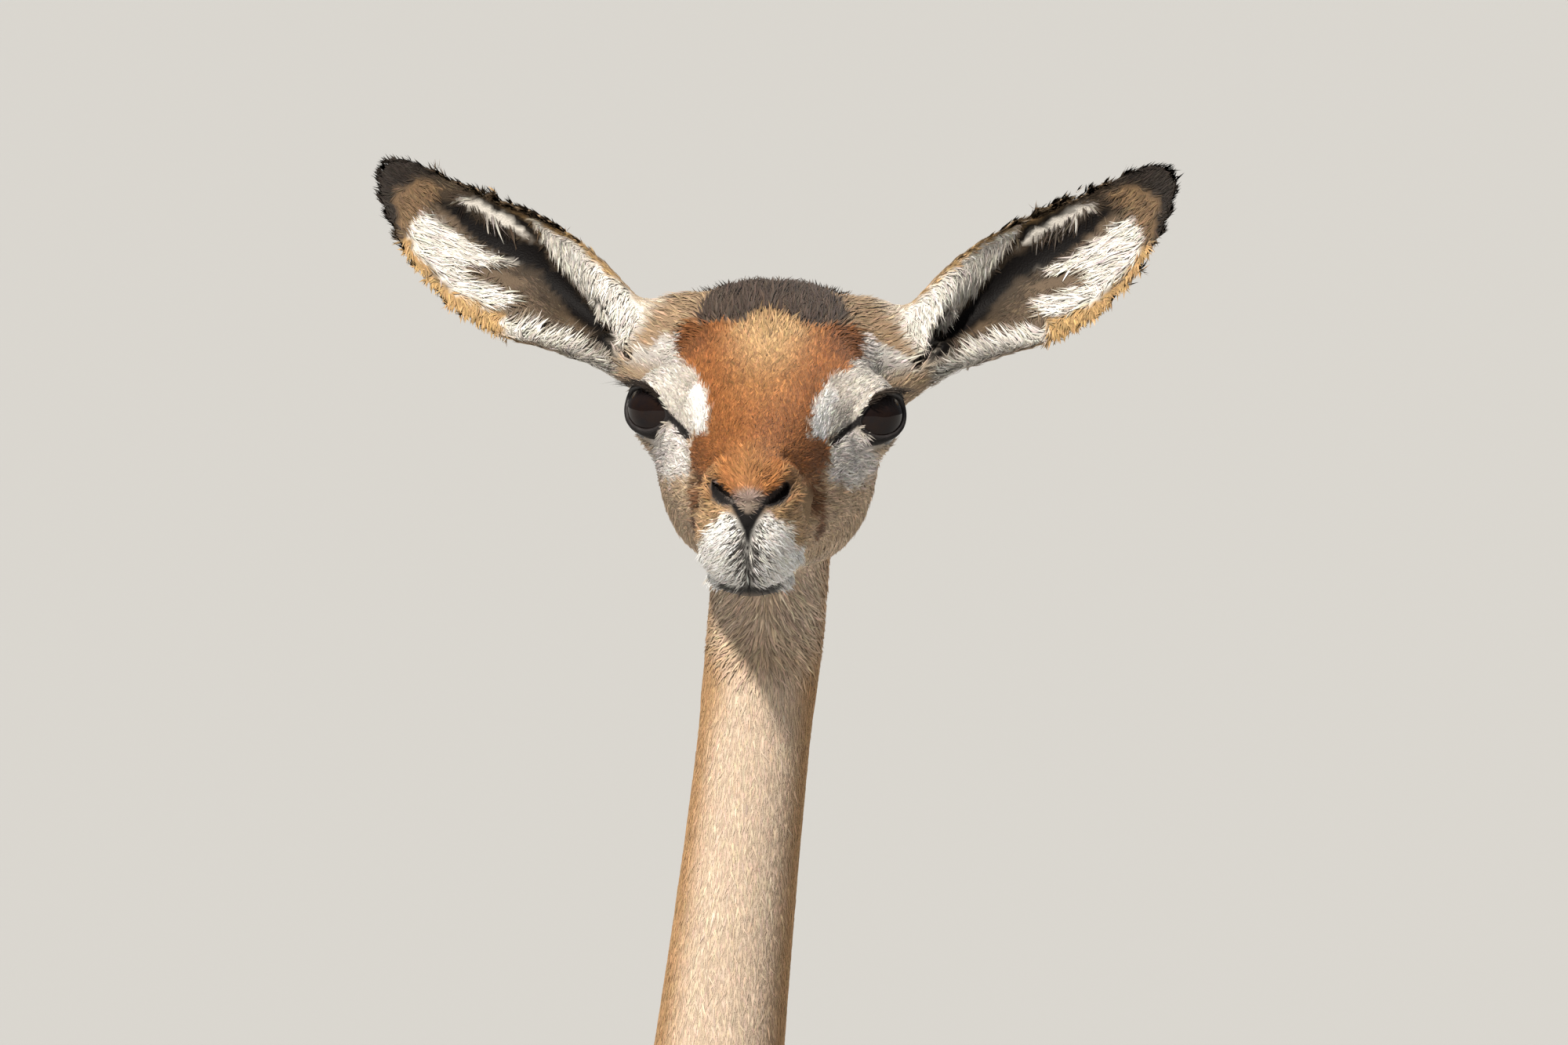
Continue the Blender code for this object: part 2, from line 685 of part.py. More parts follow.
def shape_lids(points, side):
    """Lays the skin round an eye on the eyeball as closed lids."""
    gaze, slit, lift = eye_axes(side)
    away = points - eye_place(side)
    distance = np.linalg.norm(away, axis=1)
    away = away / distance[:, None]
    across = np.degrees(np.arctan2(away @ slit, away @ gaze))
    up = np.degrees(np.arcsin(np.clip(away @ lift, -1, 1)))
    spread = np.hypot(across / LID_WIDE_DEG, up / LID_HIGH_DEG)
    front = ease(away @ gaze, -0.1, 0.3) * (distance < 2.6)
    hold = front * (1.0 - ease(spread, 1.3, 1.75))
    moved = distance + hold * (EYE_RADIUS + LID_THICK - distance)
    return eye_place(side) + away * moved[:, None]


def lid_opening(side):
    """The almond between the lids, as a closed cone that opens away from the middle of the eye."""
    gaze, slit, lift = eye_axes(side)
    rings = []
    for reach, share in ((0.5, 1.0), (1.5, 1.0), (1.5, 0.66), (1.5, 0.33)):
        ring = []
        for turn in np.arange(24) * math.pi / 12:
            wide = math.radians(LID_WIDE_DEG) * share * math.cos(turn)
            high = math.radians(LID_HIGH_DEG) * share * math.sin(turn) * (1.0 - 0.25 * math.cos(turn) ** 2)
            way = (gaze * math.cos(wide) + slit * math.sin(wide)) * math.cos(high) + lift * math.sin(high)
            ring.append(Vector(head_to_world(eye_place(side) + way * reach * EYE_RADIUS)[0]))
        rings.append(ring)
    return loft("lid_opening", rings)


def sink_line(points, path, width, depth, inward):
    """Presses a groove into the skin along a path."""
    path = smooth_rows(path, 6)
    gap = np.min(np.linalg.norm(points[:, None, :] - path[None, :, :], axis=2), axis=1)
    return points + inward * (depth * (1.0 - ease(gap, 0.0, width)))[:, None]


def sculpt_face(points):
    """Shapes lids, nostrils, lips and chin on the skin of the head."""
    for side in (-1, 1):
        flip = np.array([side, 1.0, 1.0])
        points = shape_lids(points, side)
        centre, long, short, tilt, depth = NOSTRIL
        offset = (points - np.array(centre) * flip) * flip
        turn = math.radians(tilt)
        along = offset[:, 0] * math.cos(turn) + offset[:, 2] * math.sin(turn)
        across = offset[:, 2] * math.cos(turn) - offset[:, 0] * math.sin(turn)
        spread = np.hypot(along / long, across / short)
        facing = np.abs(offset[:, 1]) < 1.2
        rim = facing * np.exp(-(((spread - 1.45) / 0.4) ** 2)) * 0.09
        hole = facing * (1.0 - ease(spread, 0.35, 1.05)) * depth
        points = points + (rim - hole)[:, None] * np.array([side * 0.15, 0.97, -0.1])
        mouth = np.array(MOUTH) * flip
        inward = np.array([-side * 0.75, -0.55, 0.35])
        points = sink_line(points, mouth, 0.45, 0.34, inward)
    philtrum = [(0.0, 12.7, -0.6), (0.0, 12.5, -1.8), (0.0, 12.1, -3.0)]
    return sink_line(points, philtrum, 0.24, 0.14, np.array([0.0, -1.0, 0.0]))


def whole_head():
    """Skull, upper neck and ear bases as one skin with its face shaped."""
    skull = skull_mesh()
    points = world_to_head(points_of(skull))
    for centre, reach, shift in FORMS:
        for side in (-1, 1) if centre[0] else (1,):
            flip = np.array([side, 1.0, 1.0])
            points = points + nearness(points, centre * flip, reach)[:, None] * (shift * flip)
    set_points(skull, head_to_world(points))
    neck = upright([row for row in NECK if row[0] > 110.0], 28, 6)
    meshes = [skull, neck, ear_plug(-1), ear_plug(1)]
    for side in (-1, 1):
        meshes.append(ball(head_to_world(eye_place(side))[0], (EYE_RADIUS + LID_THICK) * CM, 28, 18))
        pad = ball((0.0, 0.0, 0.0), CM, 20, 14)
        size = Matrix.Diagonal((*EAR_PAD_SIZE, 1.0))
        place = view_to_head(side * EAR_PAD[0], EAR_PAD[1], EAR_PAD[2])
        pad.transform(Matrix.Translation(head_to_world(place)[0]) @ size)
        meshes.append(pad)
    mesh = with_modifier(joined(meshes), "REMESH", mode="VOXEL", voxel_size=HEAD_VOXEL)
    largest_body(mesh)
    soften(mesh, 3)
    points = world_to_head(points_of(mesh))
    back = 1.0 - ease(points[:, 1], -3.5, -0.5)
    soften(mesh, 40, 0.9 * back, keep_size=False)
    soften(mesh, 6, 0.5, keep_size=False)
    set_points(mesh, head_to_world(sculpt_face(world_to_head(points_of(mesh)))))
    soften(mesh, 1, 0.6)
    return with_modifier(mesh, "DECIMATE", ratio=HEAD_FACES / (2 * len(mesh.polygons)), use_collapse_triangulate=True)


# Cuts between the nodes: a place in metres and a normal

THROAT_CUT = ((0.0, EYE_Y + 0.085, 1.285), (0.08, -0.2, 0.98))
MID_NECK_CUT = ((0.0, TRUNK_Y, 1.10), (0.1, -0.22, 0.97))
NECK_BASE_CUT = ((0.0, TRUNK_Y + 0.02, 0.925), (0.1, -0.35, 0.94))
ELBOW_HEIGHT = 0.630
STIFLE_CUT = ((0.0, TRUNK_Y + 0.58, 0.655), (0.0, -0.42, 0.91))
HIND_START = TRUNK_Y + 0.40
CHEST_END = TRUNK_Y + 0.235
BELLY_END = TRUNK_Y + 0.46
KNEE_HEIGHT = 0.330
HOCK_HEIGHT = 0.325
HOOF_TOP = HOOF_HEIGHT * CM
TAIL_CUT = ((TRUNK_X, TRUNK_Y + 0.736, 0.79), (0.0, 0.3, -0.95))
TAIL_CUTTER = 0.030


def make_head():
    """The head, cut off the neck and the ears, with a socket for each eye."""
    mesh, _ = parted(whole_head(), *THROAT_CUT)
    for side in (-1, 1):
        root, along, across, facing = ear_frame(side)
        turn = HEAD_FRAME.to_3x3() @ Matrix.Diagonal((1.0, -1.0, 1.0))
        axes = Matrix([turn @ axis for axis in (along, across, facing)]).transposed()
        if axes.determinant() < 0:
            axes.col[2] = -axes.col[2]
        size = 6.0 * CM
        place = Vector(head_to_world(root + along * EAR_CUT)[0]) + axes.col[0] * size / 2
        mesh = combined(mesh, slab(place, axes, (size, size, size)), "DIFFERENCE")
        centre = head_to_world(eye_place(side))[0]
        mesh = combined(mesh, lid_opening(side), "DIFFERENCE")
        mesh = combined(mesh, ball(centre, EYE_RADIUS * CM + GAP, 24, 16), "DIFFERENCE")
    new_object("head", mesh, CHESTNUT)


def make_ears_and_eyes():
    """The two ears with their cups, and the two eyeballs."""
    for name, side in (("left", 1), ("right", -1)):
        root, along, *_ = ear_frame(side)
        turn = HEAD_FRAME.to_3x3() @ Matrix.Diagonal((1.0, -1.0, 1.0))
        direction = turn @ along
        place = Vector(head_to_world(root + along * EAR_CUT)[0]) + direction * GAP
        ear = half_of(ear_mesh(side), place, direction)
        new_object("ear_" + name, ear, EAR_COAT)
        eye = ball(head_to_world(eye_place(side))[0], EYE_RADIUS * CM, 18, 12)
        new_object("eye_" + name, eye, DARK_EYE)


def boxed(mesh, low, high, inside):
    """The part of a mesh inside a box, or what is left outside it."""
    low, high = Vector(low), Vector(high)
    box = slab((low + high) / 2, Matrix.Identity(3), high - low)
    return combined(mesh, box, "INTERSECT" if inside else "DIFFERENCE")


def make_body():
    """Torso, neck, tail root and legs, parted from one skin."""
    body = whole_body()
    below_head = half_of(body, *lowered(THROAT_CUT))
    neck, trunk = parted(below_head, *NECK_BASE_CUT)
    upper, lower = parted(neck, *MID_NECK_CUT)
    new_object("neck_upper", upper, FAWN)
    new_object("neck_lower", lower, FAWN)
    torso, legs = trunk, {}
    for leg in STEP:
        torso, legs[leg] = take_leg(torso, leg)
    place, normal = Vector(TAIL_CUT[0]), Vector(TAIL_CUT[1]).normalized()
    turn = Vector((0, 0, 1)).rotation_difference(normal).to_matrix()
    place += normal * (TAIL_CUTTER - GAP) / 2
    torso = combined(torso, slab(place, turn, (TAIL_CUTTER, TAIL_CUTTER, TAIL_CUTTER)), "DIFFERENCE")
    rest, chest = parted(torso, (0, CHEST_END, 0), (0, 1, 0))
    rump, belly = parted(rest, (0, BELLY_END, 0), (0, 1, 0))
    new_object("chest", chest, FAWN)
    new_object("belly", belly, FAWN)
    new_object("rump", rump, FAWN)
    for leg, mesh in legs.items():
        front = leg.startswith("fore")
        joint = KNEE_HEIGHT if front else HOCK_HEIGHT
        upper, lower = parted(mesh, (0, 0, joint), (0, 0, 1))
        shank = half_of(lower, Vector((0, 0, HOOF_TOP + GAP)), Vector((0, 0, 1)))
        names = ("forearm_", "fore_cannon_") if front else ("thigh_", "hind_cannon_")
        side = leg.split("_")[1]
        new_object(names[0] + side, upper, FAWN)
        new_object(names[1] + side, shank, FAWN)
        make_hooves(leg)


def lowered(cut):
    """The same cut, facing down, half a gap below it."""
    place, normal = Vector(cut[0]), Vector(cut[1]).normalized()
    return place - normal * GAP / 2, -normal


def take_leg(torso, leg):
    """Cuts one leg off the torso and returns both."""
    front, side = leg.split("_")
    edges = (TRUNK_X, 1.0) if side == "left" else (-1.0, TRUNK_X)
    if front == "fore":
        low = (edges[0], -1.0, -0.1)
        leg_box = ((edges[1], HIND_START, ELBOW_HEIGHT - GAP / 2), (edges[1], HIND_START, ELBOW_HEIGHT + GAP / 2))
        return boxed(torso, low, leg_box[1], False), boxed(torso, low, leg_box[0], True)
    place, normal = Vector(STIFLE_CUT[0]), Vector(STIFLE_CUT[1]).normalized()
    turn = Vector((0, 0, 1)).rotation_difference(normal).to_matrix()
    made = []
    for shift in (GAP / 2, -GAP / 2):
        size = Vector((0.5, 0.5, 0.9))
        middle = place + normal * (shift - size.z / 2)
        middle.x = TRUNK_X + (size.x / 2 if side == "left" else -size.x / 2)
        made.append((middle, turn, size))
    rest = combined(torso, slab(*made[0]), "DIFFERENCE")
    return rest, combined(torso, slab(*made[1]), "INTERSECT")


def claw_mesh(side):
    """One half of a cloven hoof with its flat sole at the floor, its toe towards -Y and its split side at x = 0."""
    rings = []
    for share in (0.0, 0.1, 0.5, 1.0):
        z = HOOF_HEIGHT * share
        toe = -HOOF_LENGTH * (0.56 - 0.26 * share)
        heel = HOOF_LENGTH * (0.30 + 0.05 * share)
        ring = []
        for k in range(12):
            turn = math.pi * 2 * k / 12
            length = 0.5 * (1 - math.cos(turn))
            y = heel + (toe - heel) * length
            taper = math.sin(math.pi * min(1.0, (length * 0.92 + 0.08)) ** 0.85) ** 0.6
            width = HOOF_WIDTH * (0.9 + 0.08 * share) * taper
            out = HOOF_SPLIT / 2 + (width if turn <= math.pi else width * 0.04)
            ring.append(Vector((side * out, y, z)) * CM)
        rings.append(ring)
    return loft("claw", rings)


def make_hooves(leg):
    """The two claws of a foot."""
    x, y = foot_place(leg)
    own = 1 if leg.endswith("left") else -1
    for name, side in (("outer", own), ("inner", -own)):
        mesh = claw_mesh(side)
        mesh.transform(Matrix.Translation((x, y, FLOOR)))
        new_object(f"hoof_{leg}_{name}", mesh, HOOF_HORN)


def lock_mesh(root, tip, bow):
    """One flat, tapered lock of hair from a root to a tip, bowed outwards."""
    run = tip - root
    side = run.cross(Vector((0, 1, 0))).normalized() * LOCK_HALF_WIDTH * CM
    flat = run.cross(side).normalized() * LOCK_HALF_THICK * CM
    rings = []
    for share, wide in ((0.0, 0.7), (0.35, 1.0), (0.7, 0.65), (1.0, 0.12)):
        centre = root + run * share + bow * math.sin(math.pi * share)
        rings.append([centre + way * wide for way in (side, flat, -side, -flat)])
    return loft("lock", rings)


def tail_locks(top, locks):
    """Tiers of locks round the tail, each tier lower and its locks between those above."""
    chance = np.random.default_rng(7)
    middle = Vector((TRUNK_X, TRUNK_Y + tail_back(1.0) * CM, 0))
    for tier in range(LOCK_TIERS):
        for k in range(LOCKS_ROUND):
            turn = 2 * math.pi * (k + 0.5 * (tier % 2)) / LOCKS_ROUND
            out = Vector((math.cos(turn), math.sin(turn), 0)) * CM
            drop = LOCK_FIRST_DROP + LOCK_TIER_DROP * tier
            length = LOCK_LENGTH[0] + (LOCK_LENGTH[1] - LOCK_LENGTH[0]) * chance.random()
            root = middle + out * 0.1 + Vector((0, 0, top - drop * CM))
            tip = root + out * (LOCK_FLARE - 0.1 * tier) - Vector((0, 0, length * CM))
            piece = new_object(f"lock_{tier}_{k}", lock_mesh(root, tip, out * LOCK_BOW), None, locks)
            piece.hide_render = True
            piece.display_type = "WIRE"


def make_tail():
    """The hanging tail, and its dark tuft built of overlapping locks."""
    tail, _ = parted(upright(tail_rows(1.0), 12, 2), *TAIL_CUT)
    top = tail_height(TUFT_SHARE) * CM
    upper, core = parted(tail, (0, 0, top), (0, 0, 1))
    new_object("tail", upper, FAWN)
    locks = bpy.data.collections.new("locks")
    CUTTERS.children.link(locks)
    tail_locks(top, locks)
    tuft = with_modifier(core, "BOOLEAN", operation="UNION", operand_type="COLLECTION", collection=locks, solver="EXACT")
    for piece in list(locks.objects):
        bpy.data.objects.remove(piece)
    new_object("tail_tuft", largest_body(tuft), BLACK_TUFT)


make_head()
make_ears_and_eyes()
make_body()
make_tail()
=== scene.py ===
"""The looks of a life-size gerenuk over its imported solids: one skin, its coat in fine tufts, eyes, lids and hooves.

Places on the head are in centimetres in its own axes, from between the eyes: across (+ to its left), forward, up.
Places on the trunk and legs are in centimetres too: across from its middle, behind the front of the chest, height.
"""

import logging
import math
from dataclasses import dataclass, field
from enum import Enum

import bmesh
import bpy
import numpy as np
from mathutils import Matrix, Vector


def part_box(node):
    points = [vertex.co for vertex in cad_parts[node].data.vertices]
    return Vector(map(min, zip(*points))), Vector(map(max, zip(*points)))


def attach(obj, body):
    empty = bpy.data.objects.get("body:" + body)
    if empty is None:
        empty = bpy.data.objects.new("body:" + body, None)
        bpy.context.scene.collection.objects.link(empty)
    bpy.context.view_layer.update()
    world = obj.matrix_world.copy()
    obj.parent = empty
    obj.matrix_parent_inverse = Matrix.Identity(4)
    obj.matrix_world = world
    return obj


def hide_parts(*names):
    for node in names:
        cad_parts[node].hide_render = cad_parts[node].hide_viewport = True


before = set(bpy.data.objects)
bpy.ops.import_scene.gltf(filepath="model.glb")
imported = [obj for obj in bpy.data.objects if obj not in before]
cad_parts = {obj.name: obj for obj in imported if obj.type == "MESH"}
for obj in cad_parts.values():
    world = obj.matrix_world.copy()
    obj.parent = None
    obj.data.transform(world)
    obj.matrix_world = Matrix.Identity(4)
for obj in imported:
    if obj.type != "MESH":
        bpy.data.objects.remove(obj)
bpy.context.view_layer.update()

LOG = logging.getLogger("gerenuk")
CM = 0.01
COLOUR_MAP = "coat"
BAKE_MAP = "OFBake"
SEED = 11

Array = np.ndarray
Outline = tuple[tuple[float, float], ...]


class Hue(Enum):
    """Colours of the coat and of bare skin, in linear light, with painted shade and painted light among them."""

    RUST = (0.225, 0.085, 0.027)
    RUST_DARK = (0.115, 0.045, 0.018)
    GOLD = (0.36, 0.185, 0.068)
    PALE_GOLD = (0.38, 0.235, 0.115)
    NOSE_TAN = (0.31, 0.155, 0.062)
    WHITE = (0.68, 0.66, 0.63)
    BROW = (0.42, 0.385, 0.345)
    CREAM = (0.56, 0.50, 0.43)
    BROW_GREY = (0.33, 0.29, 0.25)
    CHEEK_WHITE = (0.60, 0.56, 0.53)
    CHEEK_TAN = (0.48, 0.35, 0.235)
    # Painted shade: brown laid in the cheek fold, in the hollow of the cheek and on the side wall of the muzzle.
    CHEEK_PAINTED_SHADE = (0.30, 0.20, 0.12)
    TEMPLE_TAN = (0.29, 0.20, 0.125)
    MUZZLE_TAN = (0.40, 0.25, 0.13)
    # The lips' own white, made brighter as painted light for the shade that the lips lie in.
    LIP_WHITE_WITH_PAINTED_LIGHT = (0.88, 0.84, 0.79)
    LIP_GREY = (0.20, 0.18, 0.17)
    CROWN = (0.058, 0.042, 0.033)
    NECK_CREAM = (0.62, 0.485, 0.37)
    NECK_TAN = (0.46, 0.275, 0.14)
    SADDLE = (0.26, 0.11, 0.045)
    FLANK = (0.56, 0.34, 0.17)
    # The back of the ear, made lighter than its own colour as painted light on its hair that lies in shade.
    EAR_BACK_WITH_PAINTED_LIGHT = (0.37, 0.27, 0.175)
    EAR_BARE = (0.115, 0.082, 0.055)
    EAR_TIP = (0.020, 0.015, 0.012)
    EAR_FUZZ = (0.15, 0.095, 0.052)
    EAR_GOLD = (0.40, 0.25, 0.11)
    EAR_WHITE = (0.64, 0.60, 0.545)
    # Painted shade: near black in the deep slit of the ear.
    SLIT_SHADE = (0.010, 0.007, 0.005)
    BLACK_SKIN = (0.018, 0.016, 0.016)
    LASH = (0.030, 0.022, 0.017)
    TUFT_BLACK = (0.020, 0.016, 0.013)


# Small tools for arrays of places and shares


def ease(value: Array, low: float, high: float) -> Array:
    """0 below low, 1 above high and a smooth rise between."""
    t = np.clip((value - low) / (high - low), 0.0, 1.0)
    return t * t * (3.0 - 2.0 * t)


def unit(vectors: Array) -> Array:
    """Vectors of length one."""
    return vectors / np.maximum(np.linalg.norm(vectors, axis=-1, keepdims=True), 1e-12)


def along_surface(directions: Array, normals: Array) -> Array:
    """Directions laid into the surface that the normals stand on."""
    return unit(directions - normals * np.sum(directions * normals, axis=1, keepdims=True))


def near(points: Array, centre: tuple[float, ...], reach: tuple[float, ...]) -> Array:
    """1 at the centre of an ellipsoid, easing to 0 at its surface."""
    return 1.0 - ease(np.linalg.norm((points - np.array(centre)) / np.array(reach), axis=1), 0.0, 1.0)


def ripple(points: Array, wave: float, seed: int) -> Array:
    """Smooth seeded unevenness between about -1 and 1.

    Args:
        points: places, in any unit.
        wave: the mean length of its waves, in that unit.
        seed: the draw of its waves.

    Returns:
        One value for each place.
    """
    draw = np.random.default_rng(seed)
    total = np.zeros(len(points))
    for _ in range(7):
        way = unit(draw.normal(size=points.shape[1]))
        total += np.sin(points @ way * (2 * math.pi / (wave * draw.uniform(0.6, 1.6))) + draw.uniform(0, 6.3))
    return total / 3.2


def depth_in(places: Array, outline: Outline) -> Array:
    """How deep flat places lie inside a closed outline, less than 0 outside it."""
    corners = np.array(outline, float)
    gap = np.full(len(places), np.inf)
    within = np.zeros(len(places), bool)
    for start, end in zip(corners, np.roll(corners, -1, axis=0)):
        run = end - start
        share = np.clip((places - start) @ run / (run @ run), 0.0, 1.0)
        gap = np.minimum(gap, np.linalg.norm(places - start - share[:, None] * run, axis=1))
        crosses = (start[1] > places[:, 1]) != (end[1] > places[:, 1])
        rise = end[1] - start[1] if end[1] != start[1] else 1e-12
        within ^= crosses & (places[:, 0] < start[0] + (places[:, 1] - start[1]) * run[0] / rise)
    return np.where(within, gap, -gap)


def inside(places: Array, outline: Outline, soft: float) -> Array:
    """1 inside a closed outline, 0 outside and a smooth step across its edge."""
    return ease(depth_in(places, outline), -soft, soft)


def beside(places: Array, path: tuple[tuple[float, ...], ...]) -> Array:
    """The distance from each place to a path."""
    points = np.array(path, float)
    gap = np.full(len(places), np.inf)
    for start, end in zip(points, points[1:]):
        run = end - start
        share = np.clip((places - start) @ run / (run @ run), 0.0, 1.0)
        gap = np.minimum(gap, np.linalg.norm(places - start - share[:, None] * run, axis=1))
    return gap


# Small tools for meshes


def read_points(mesh: bpy.types.Mesh) -> Array:
    """The vertices of a mesh."""
    flat = np.empty(len(mesh.vertices) * 3, np.float32)
    mesh.vertices.foreach_get("co", flat)
    return flat.reshape(-1, 3).astype(float)


def read_normals(mesh: bpy.types.Mesh) -> Array:
    """The normals at the vertices of a mesh."""
    flat = np.empty(len(mesh.vertices) * 3, np.float32)
    mesh.vertex_normals.foreach_get("vector", flat)
    return flat.reshape(-1, 3).astype(float)


def write_points(mesh: bpy.types.Mesh, points: Array) -> None:
    """Puts the vertices of a mesh at these places."""
    mesh.vertices.foreach_set("co", points.astype(np.float32).ravel())
    mesh.update()


def triangles_of(mesh: bpy.types.Mesh) -> Array:
    """The three vertices of each triangle of a mesh."""
    mesh.calc_loop_triangles()
    flat = np.empty(len(mesh.loop_triangles) * 3, np.int32)
    mesh.loop_triangles.foreach_get("vertices", flat)
    return flat.reshape(-1, 3)


def mesh_of(name: str, points: Array, faces: Array) -> bpy.types.Mesh:
    """A smooth mesh from places and faces of equal corner count."""
    count, corners = faces.shape
    mesh = bpy.data.meshes.new(name)
    mesh.vertices.add(len(points))
    mesh.loops.add(count * corners)
    mesh.polygons.add(count)
    mesh.vertices.foreach_set("co", points.astype(np.float32).ravel())
    mesh.loops.foreach_set("vertex_index", faces.astype(np.int32).ravel())
    mesh.polygons.foreach_set("loop_start", np.arange(count, dtype=np.int32) * corners)
    mesh.update(calc_edges=True)
    mesh.shade_smooth()
    return mesh


def loft(name: str, rings: Array) -> bpy.types.Mesh:
    """A closed mesh through rings of equal count, with a fan at each end."""
    rows, count = rings.shape[:2]
    index = np.arange(rows * count).reshape(rows, count)
    turned = np.roll(index, -1, axis=1)
    low, low_next, high, high_next = index[:-1], turned[:-1], index[1:], turned[1:]
    points = np.vstack([rings.reshape(-1, 3), rings[0].mean(0), rings[-1].mean(0)])
    faces = [
        np.stack([low, low_next, high_next], -1).reshape(-1, 3),
        np.stack([low, high_next, high], -1).reshape(-1, 3),
        np.stack([turned[0], index[0], np.full(count, rows * count)], -1),
        np.stack([index[-1], turned[-1], np.full(count, rows * count + 1)], -1),
    ]
    return mesh_of(name, points, np.vstack(faces))


def mesh_from(shape: bmesh.types.BMesh, name: str) -> bpy.types.Mesh:
    """A mesh from a bmesh, which is freed."""
    mesh = bpy.data.meshes.new(name)
    shape.to_mesh(mesh)
    shape.free()
    return mesh


def paint(mesh: bpy.types.Mesh, colours: Array, places: Array) -> None:
    """Stores the markings of a coat piece and its unwrap.

    Args:
        mesh: the mesh that takes them.
        colours: the colour of each vertex, with its wetness as alpha.
        places: the place on the unwrap of each face corner.
    """
    layer = mesh.color_attributes.new(COLOUR_MAP, "FLOAT_COLOR", "POINT")
    layer.data.foreach_set("color", colours.astype(np.float32).ravel())
    unwrap = mesh.uv_layers.new(name=BAKE_MAP)
    unwrap.uv.foreach_set("vector", places.astype(np.float32).ravel())


def with_modifier(mesh: bpy.types.Mesh, kind: str, **values: object) -> bpy.types.Mesh:
    """The mesh after one modifier, which is not kept."""
    carrier = bpy.data.objects.new("carrier", mesh)
    bpy.context.scene.collection.objects.link(carrier)
    modifier = carrier.modifiers.new(kind, kind)
    for key, value in values.items():
        setattr(modifier, key, value)
    bpy.context.view_layer.update()
    graph = bpy.context.evaluated_depsgraph_get()
    made = bpy.data.meshes.new_from_object(carrier.evaluated_get(graph))
    bpy.data.objects.remove(carrier)
    return made


class Links:
    """The neighbours of each vertex of a mesh, for smoothing."""

    def __init__(self, mesh: bpy.types.Mesh) -> None:
        """Reads the edges of the mesh."""
        ends = np.empty(len(mesh.edges) * 2, np.int32)
        mesh.edges.foreach_get("vertices", ends)
        first, second = ends.reshape(-1, 2).T
        self.start = np.concatenate([first, second])
        self.end = np.concatenate([second, first])
        self.size = len(mesh.vertices)
        self.count = np.maximum(np.bincount(self.start, minlength=self.size), 1)

    def mean(self, values: Array) -> Array:
        """The mean of each vertex's neighbours."""
        sums = [np.bincount(self.start, weights=column[self.end], minlength=self.size) for column in values.T]
        return np.stack(sums, 1) / self.count[:, None]

    def smooth(self, values: Array, rounds: int, weight: Array | float = 1.0, keep: bool = True) -> Array:
        """Values after rounds of smoothing.

        Args:
            values: rows of values or places.
            rounds: how many rounds.
            weight: how strongly each vertex takes part.
            keep: grows the form back after each round, so that thin parts stay as thick.

        Returns:
            The smoothed rows.
        """
        share = np.broadcast_to(np.asarray(weight, float).reshape(-1, 1), (len(values), 1))
        for _ in range(rounds):
            values = values + 0.5 * share * (self.mean(values) - values)
            if keep:
                values = values - 0.52 * share * (self.mean(values) - values)
        return values


# Axes of the head and of the ears


class HeadAxes:
    """The head's own axes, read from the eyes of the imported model."""

    nose_drop_deg: float = 15.0
    yaw_deg: float = -2.7
    roll_deg: float = 1.5
    eyes_up: float = 0.1
    front_tilt_deg: float = 17.0
    view_down_deg: float = 3.0

    def __init__(self) -> None:
        """Places the axes between the eyes."""
        turn = Matrix.Rotation(math.radians(self.yaw_deg), 3, "Z")
        turn = turn @ Matrix.Rotation(math.radians(self.roll_deg), 3, "Y")
        turn = turn @ Matrix.Rotation(math.radians(self.nose_drop_deg), 3, "X")
        corners = [corner for name in ("eye_left", "eye_right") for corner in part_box(name)]
        middle = sum(corners, Vector()) / len(corners)
        self.turn = np.array(turn) @ np.diag((1.0, -1.0, 1.0))
        self.origin = np.array(middle) - self.turn @ np.array((0.0, 0.0, self.eyes_up * CM))

    def world(self, places: Array) -> Array:
        """Places on the head as places in the model, in metres."""
        return np.asarray(places, float) * CM @ self.turn.T + self.origin

    def local(self, points: Array) -> Array:
        """Places in the model as places on the head, in centimetres."""
        return (points - self.origin) @ self.turn / CM

    def face_flat(self, local: Array) -> Array:
        """Places on the head seen from its front, as pairs across and up, the same on both sides."""
        tilt = math.radians(self.front_tilt_deg)
        return np.stack([np.abs(local[:, 0]), local[:, 2] * math.cos(tilt) - local[:, 1] * math.sin(tilt)], 1)

    def from_front(self, across: float, up: float, toward: float) -> Array:
        """A direction or place measured in the front view, in the head's axes."""
        down = math.radians(self.view_down_deg)
        rise = np.array((0.0, math.sin(down), math.cos(down)))
        out = np.array((0.0, -math.cos(down), math.sin(down)))
        return (np.array((across, 0.0, 0.0)) + up * rise + toward * out) @ self.turn

    def tilted(self, across: float, up: float, toward: float) -> Array:
        """A direction or place as the solids give it: seen from the front of the head itself."""
        tilt = math.radians(self.front_tilt_deg)
        forward = toward * math.cos(tilt) - up * math.sin(tilt)
        return np.array((across, forward, up * math.cos(tilt) + toward * math.sin(tilt)))


HEAD = HeadAxes()


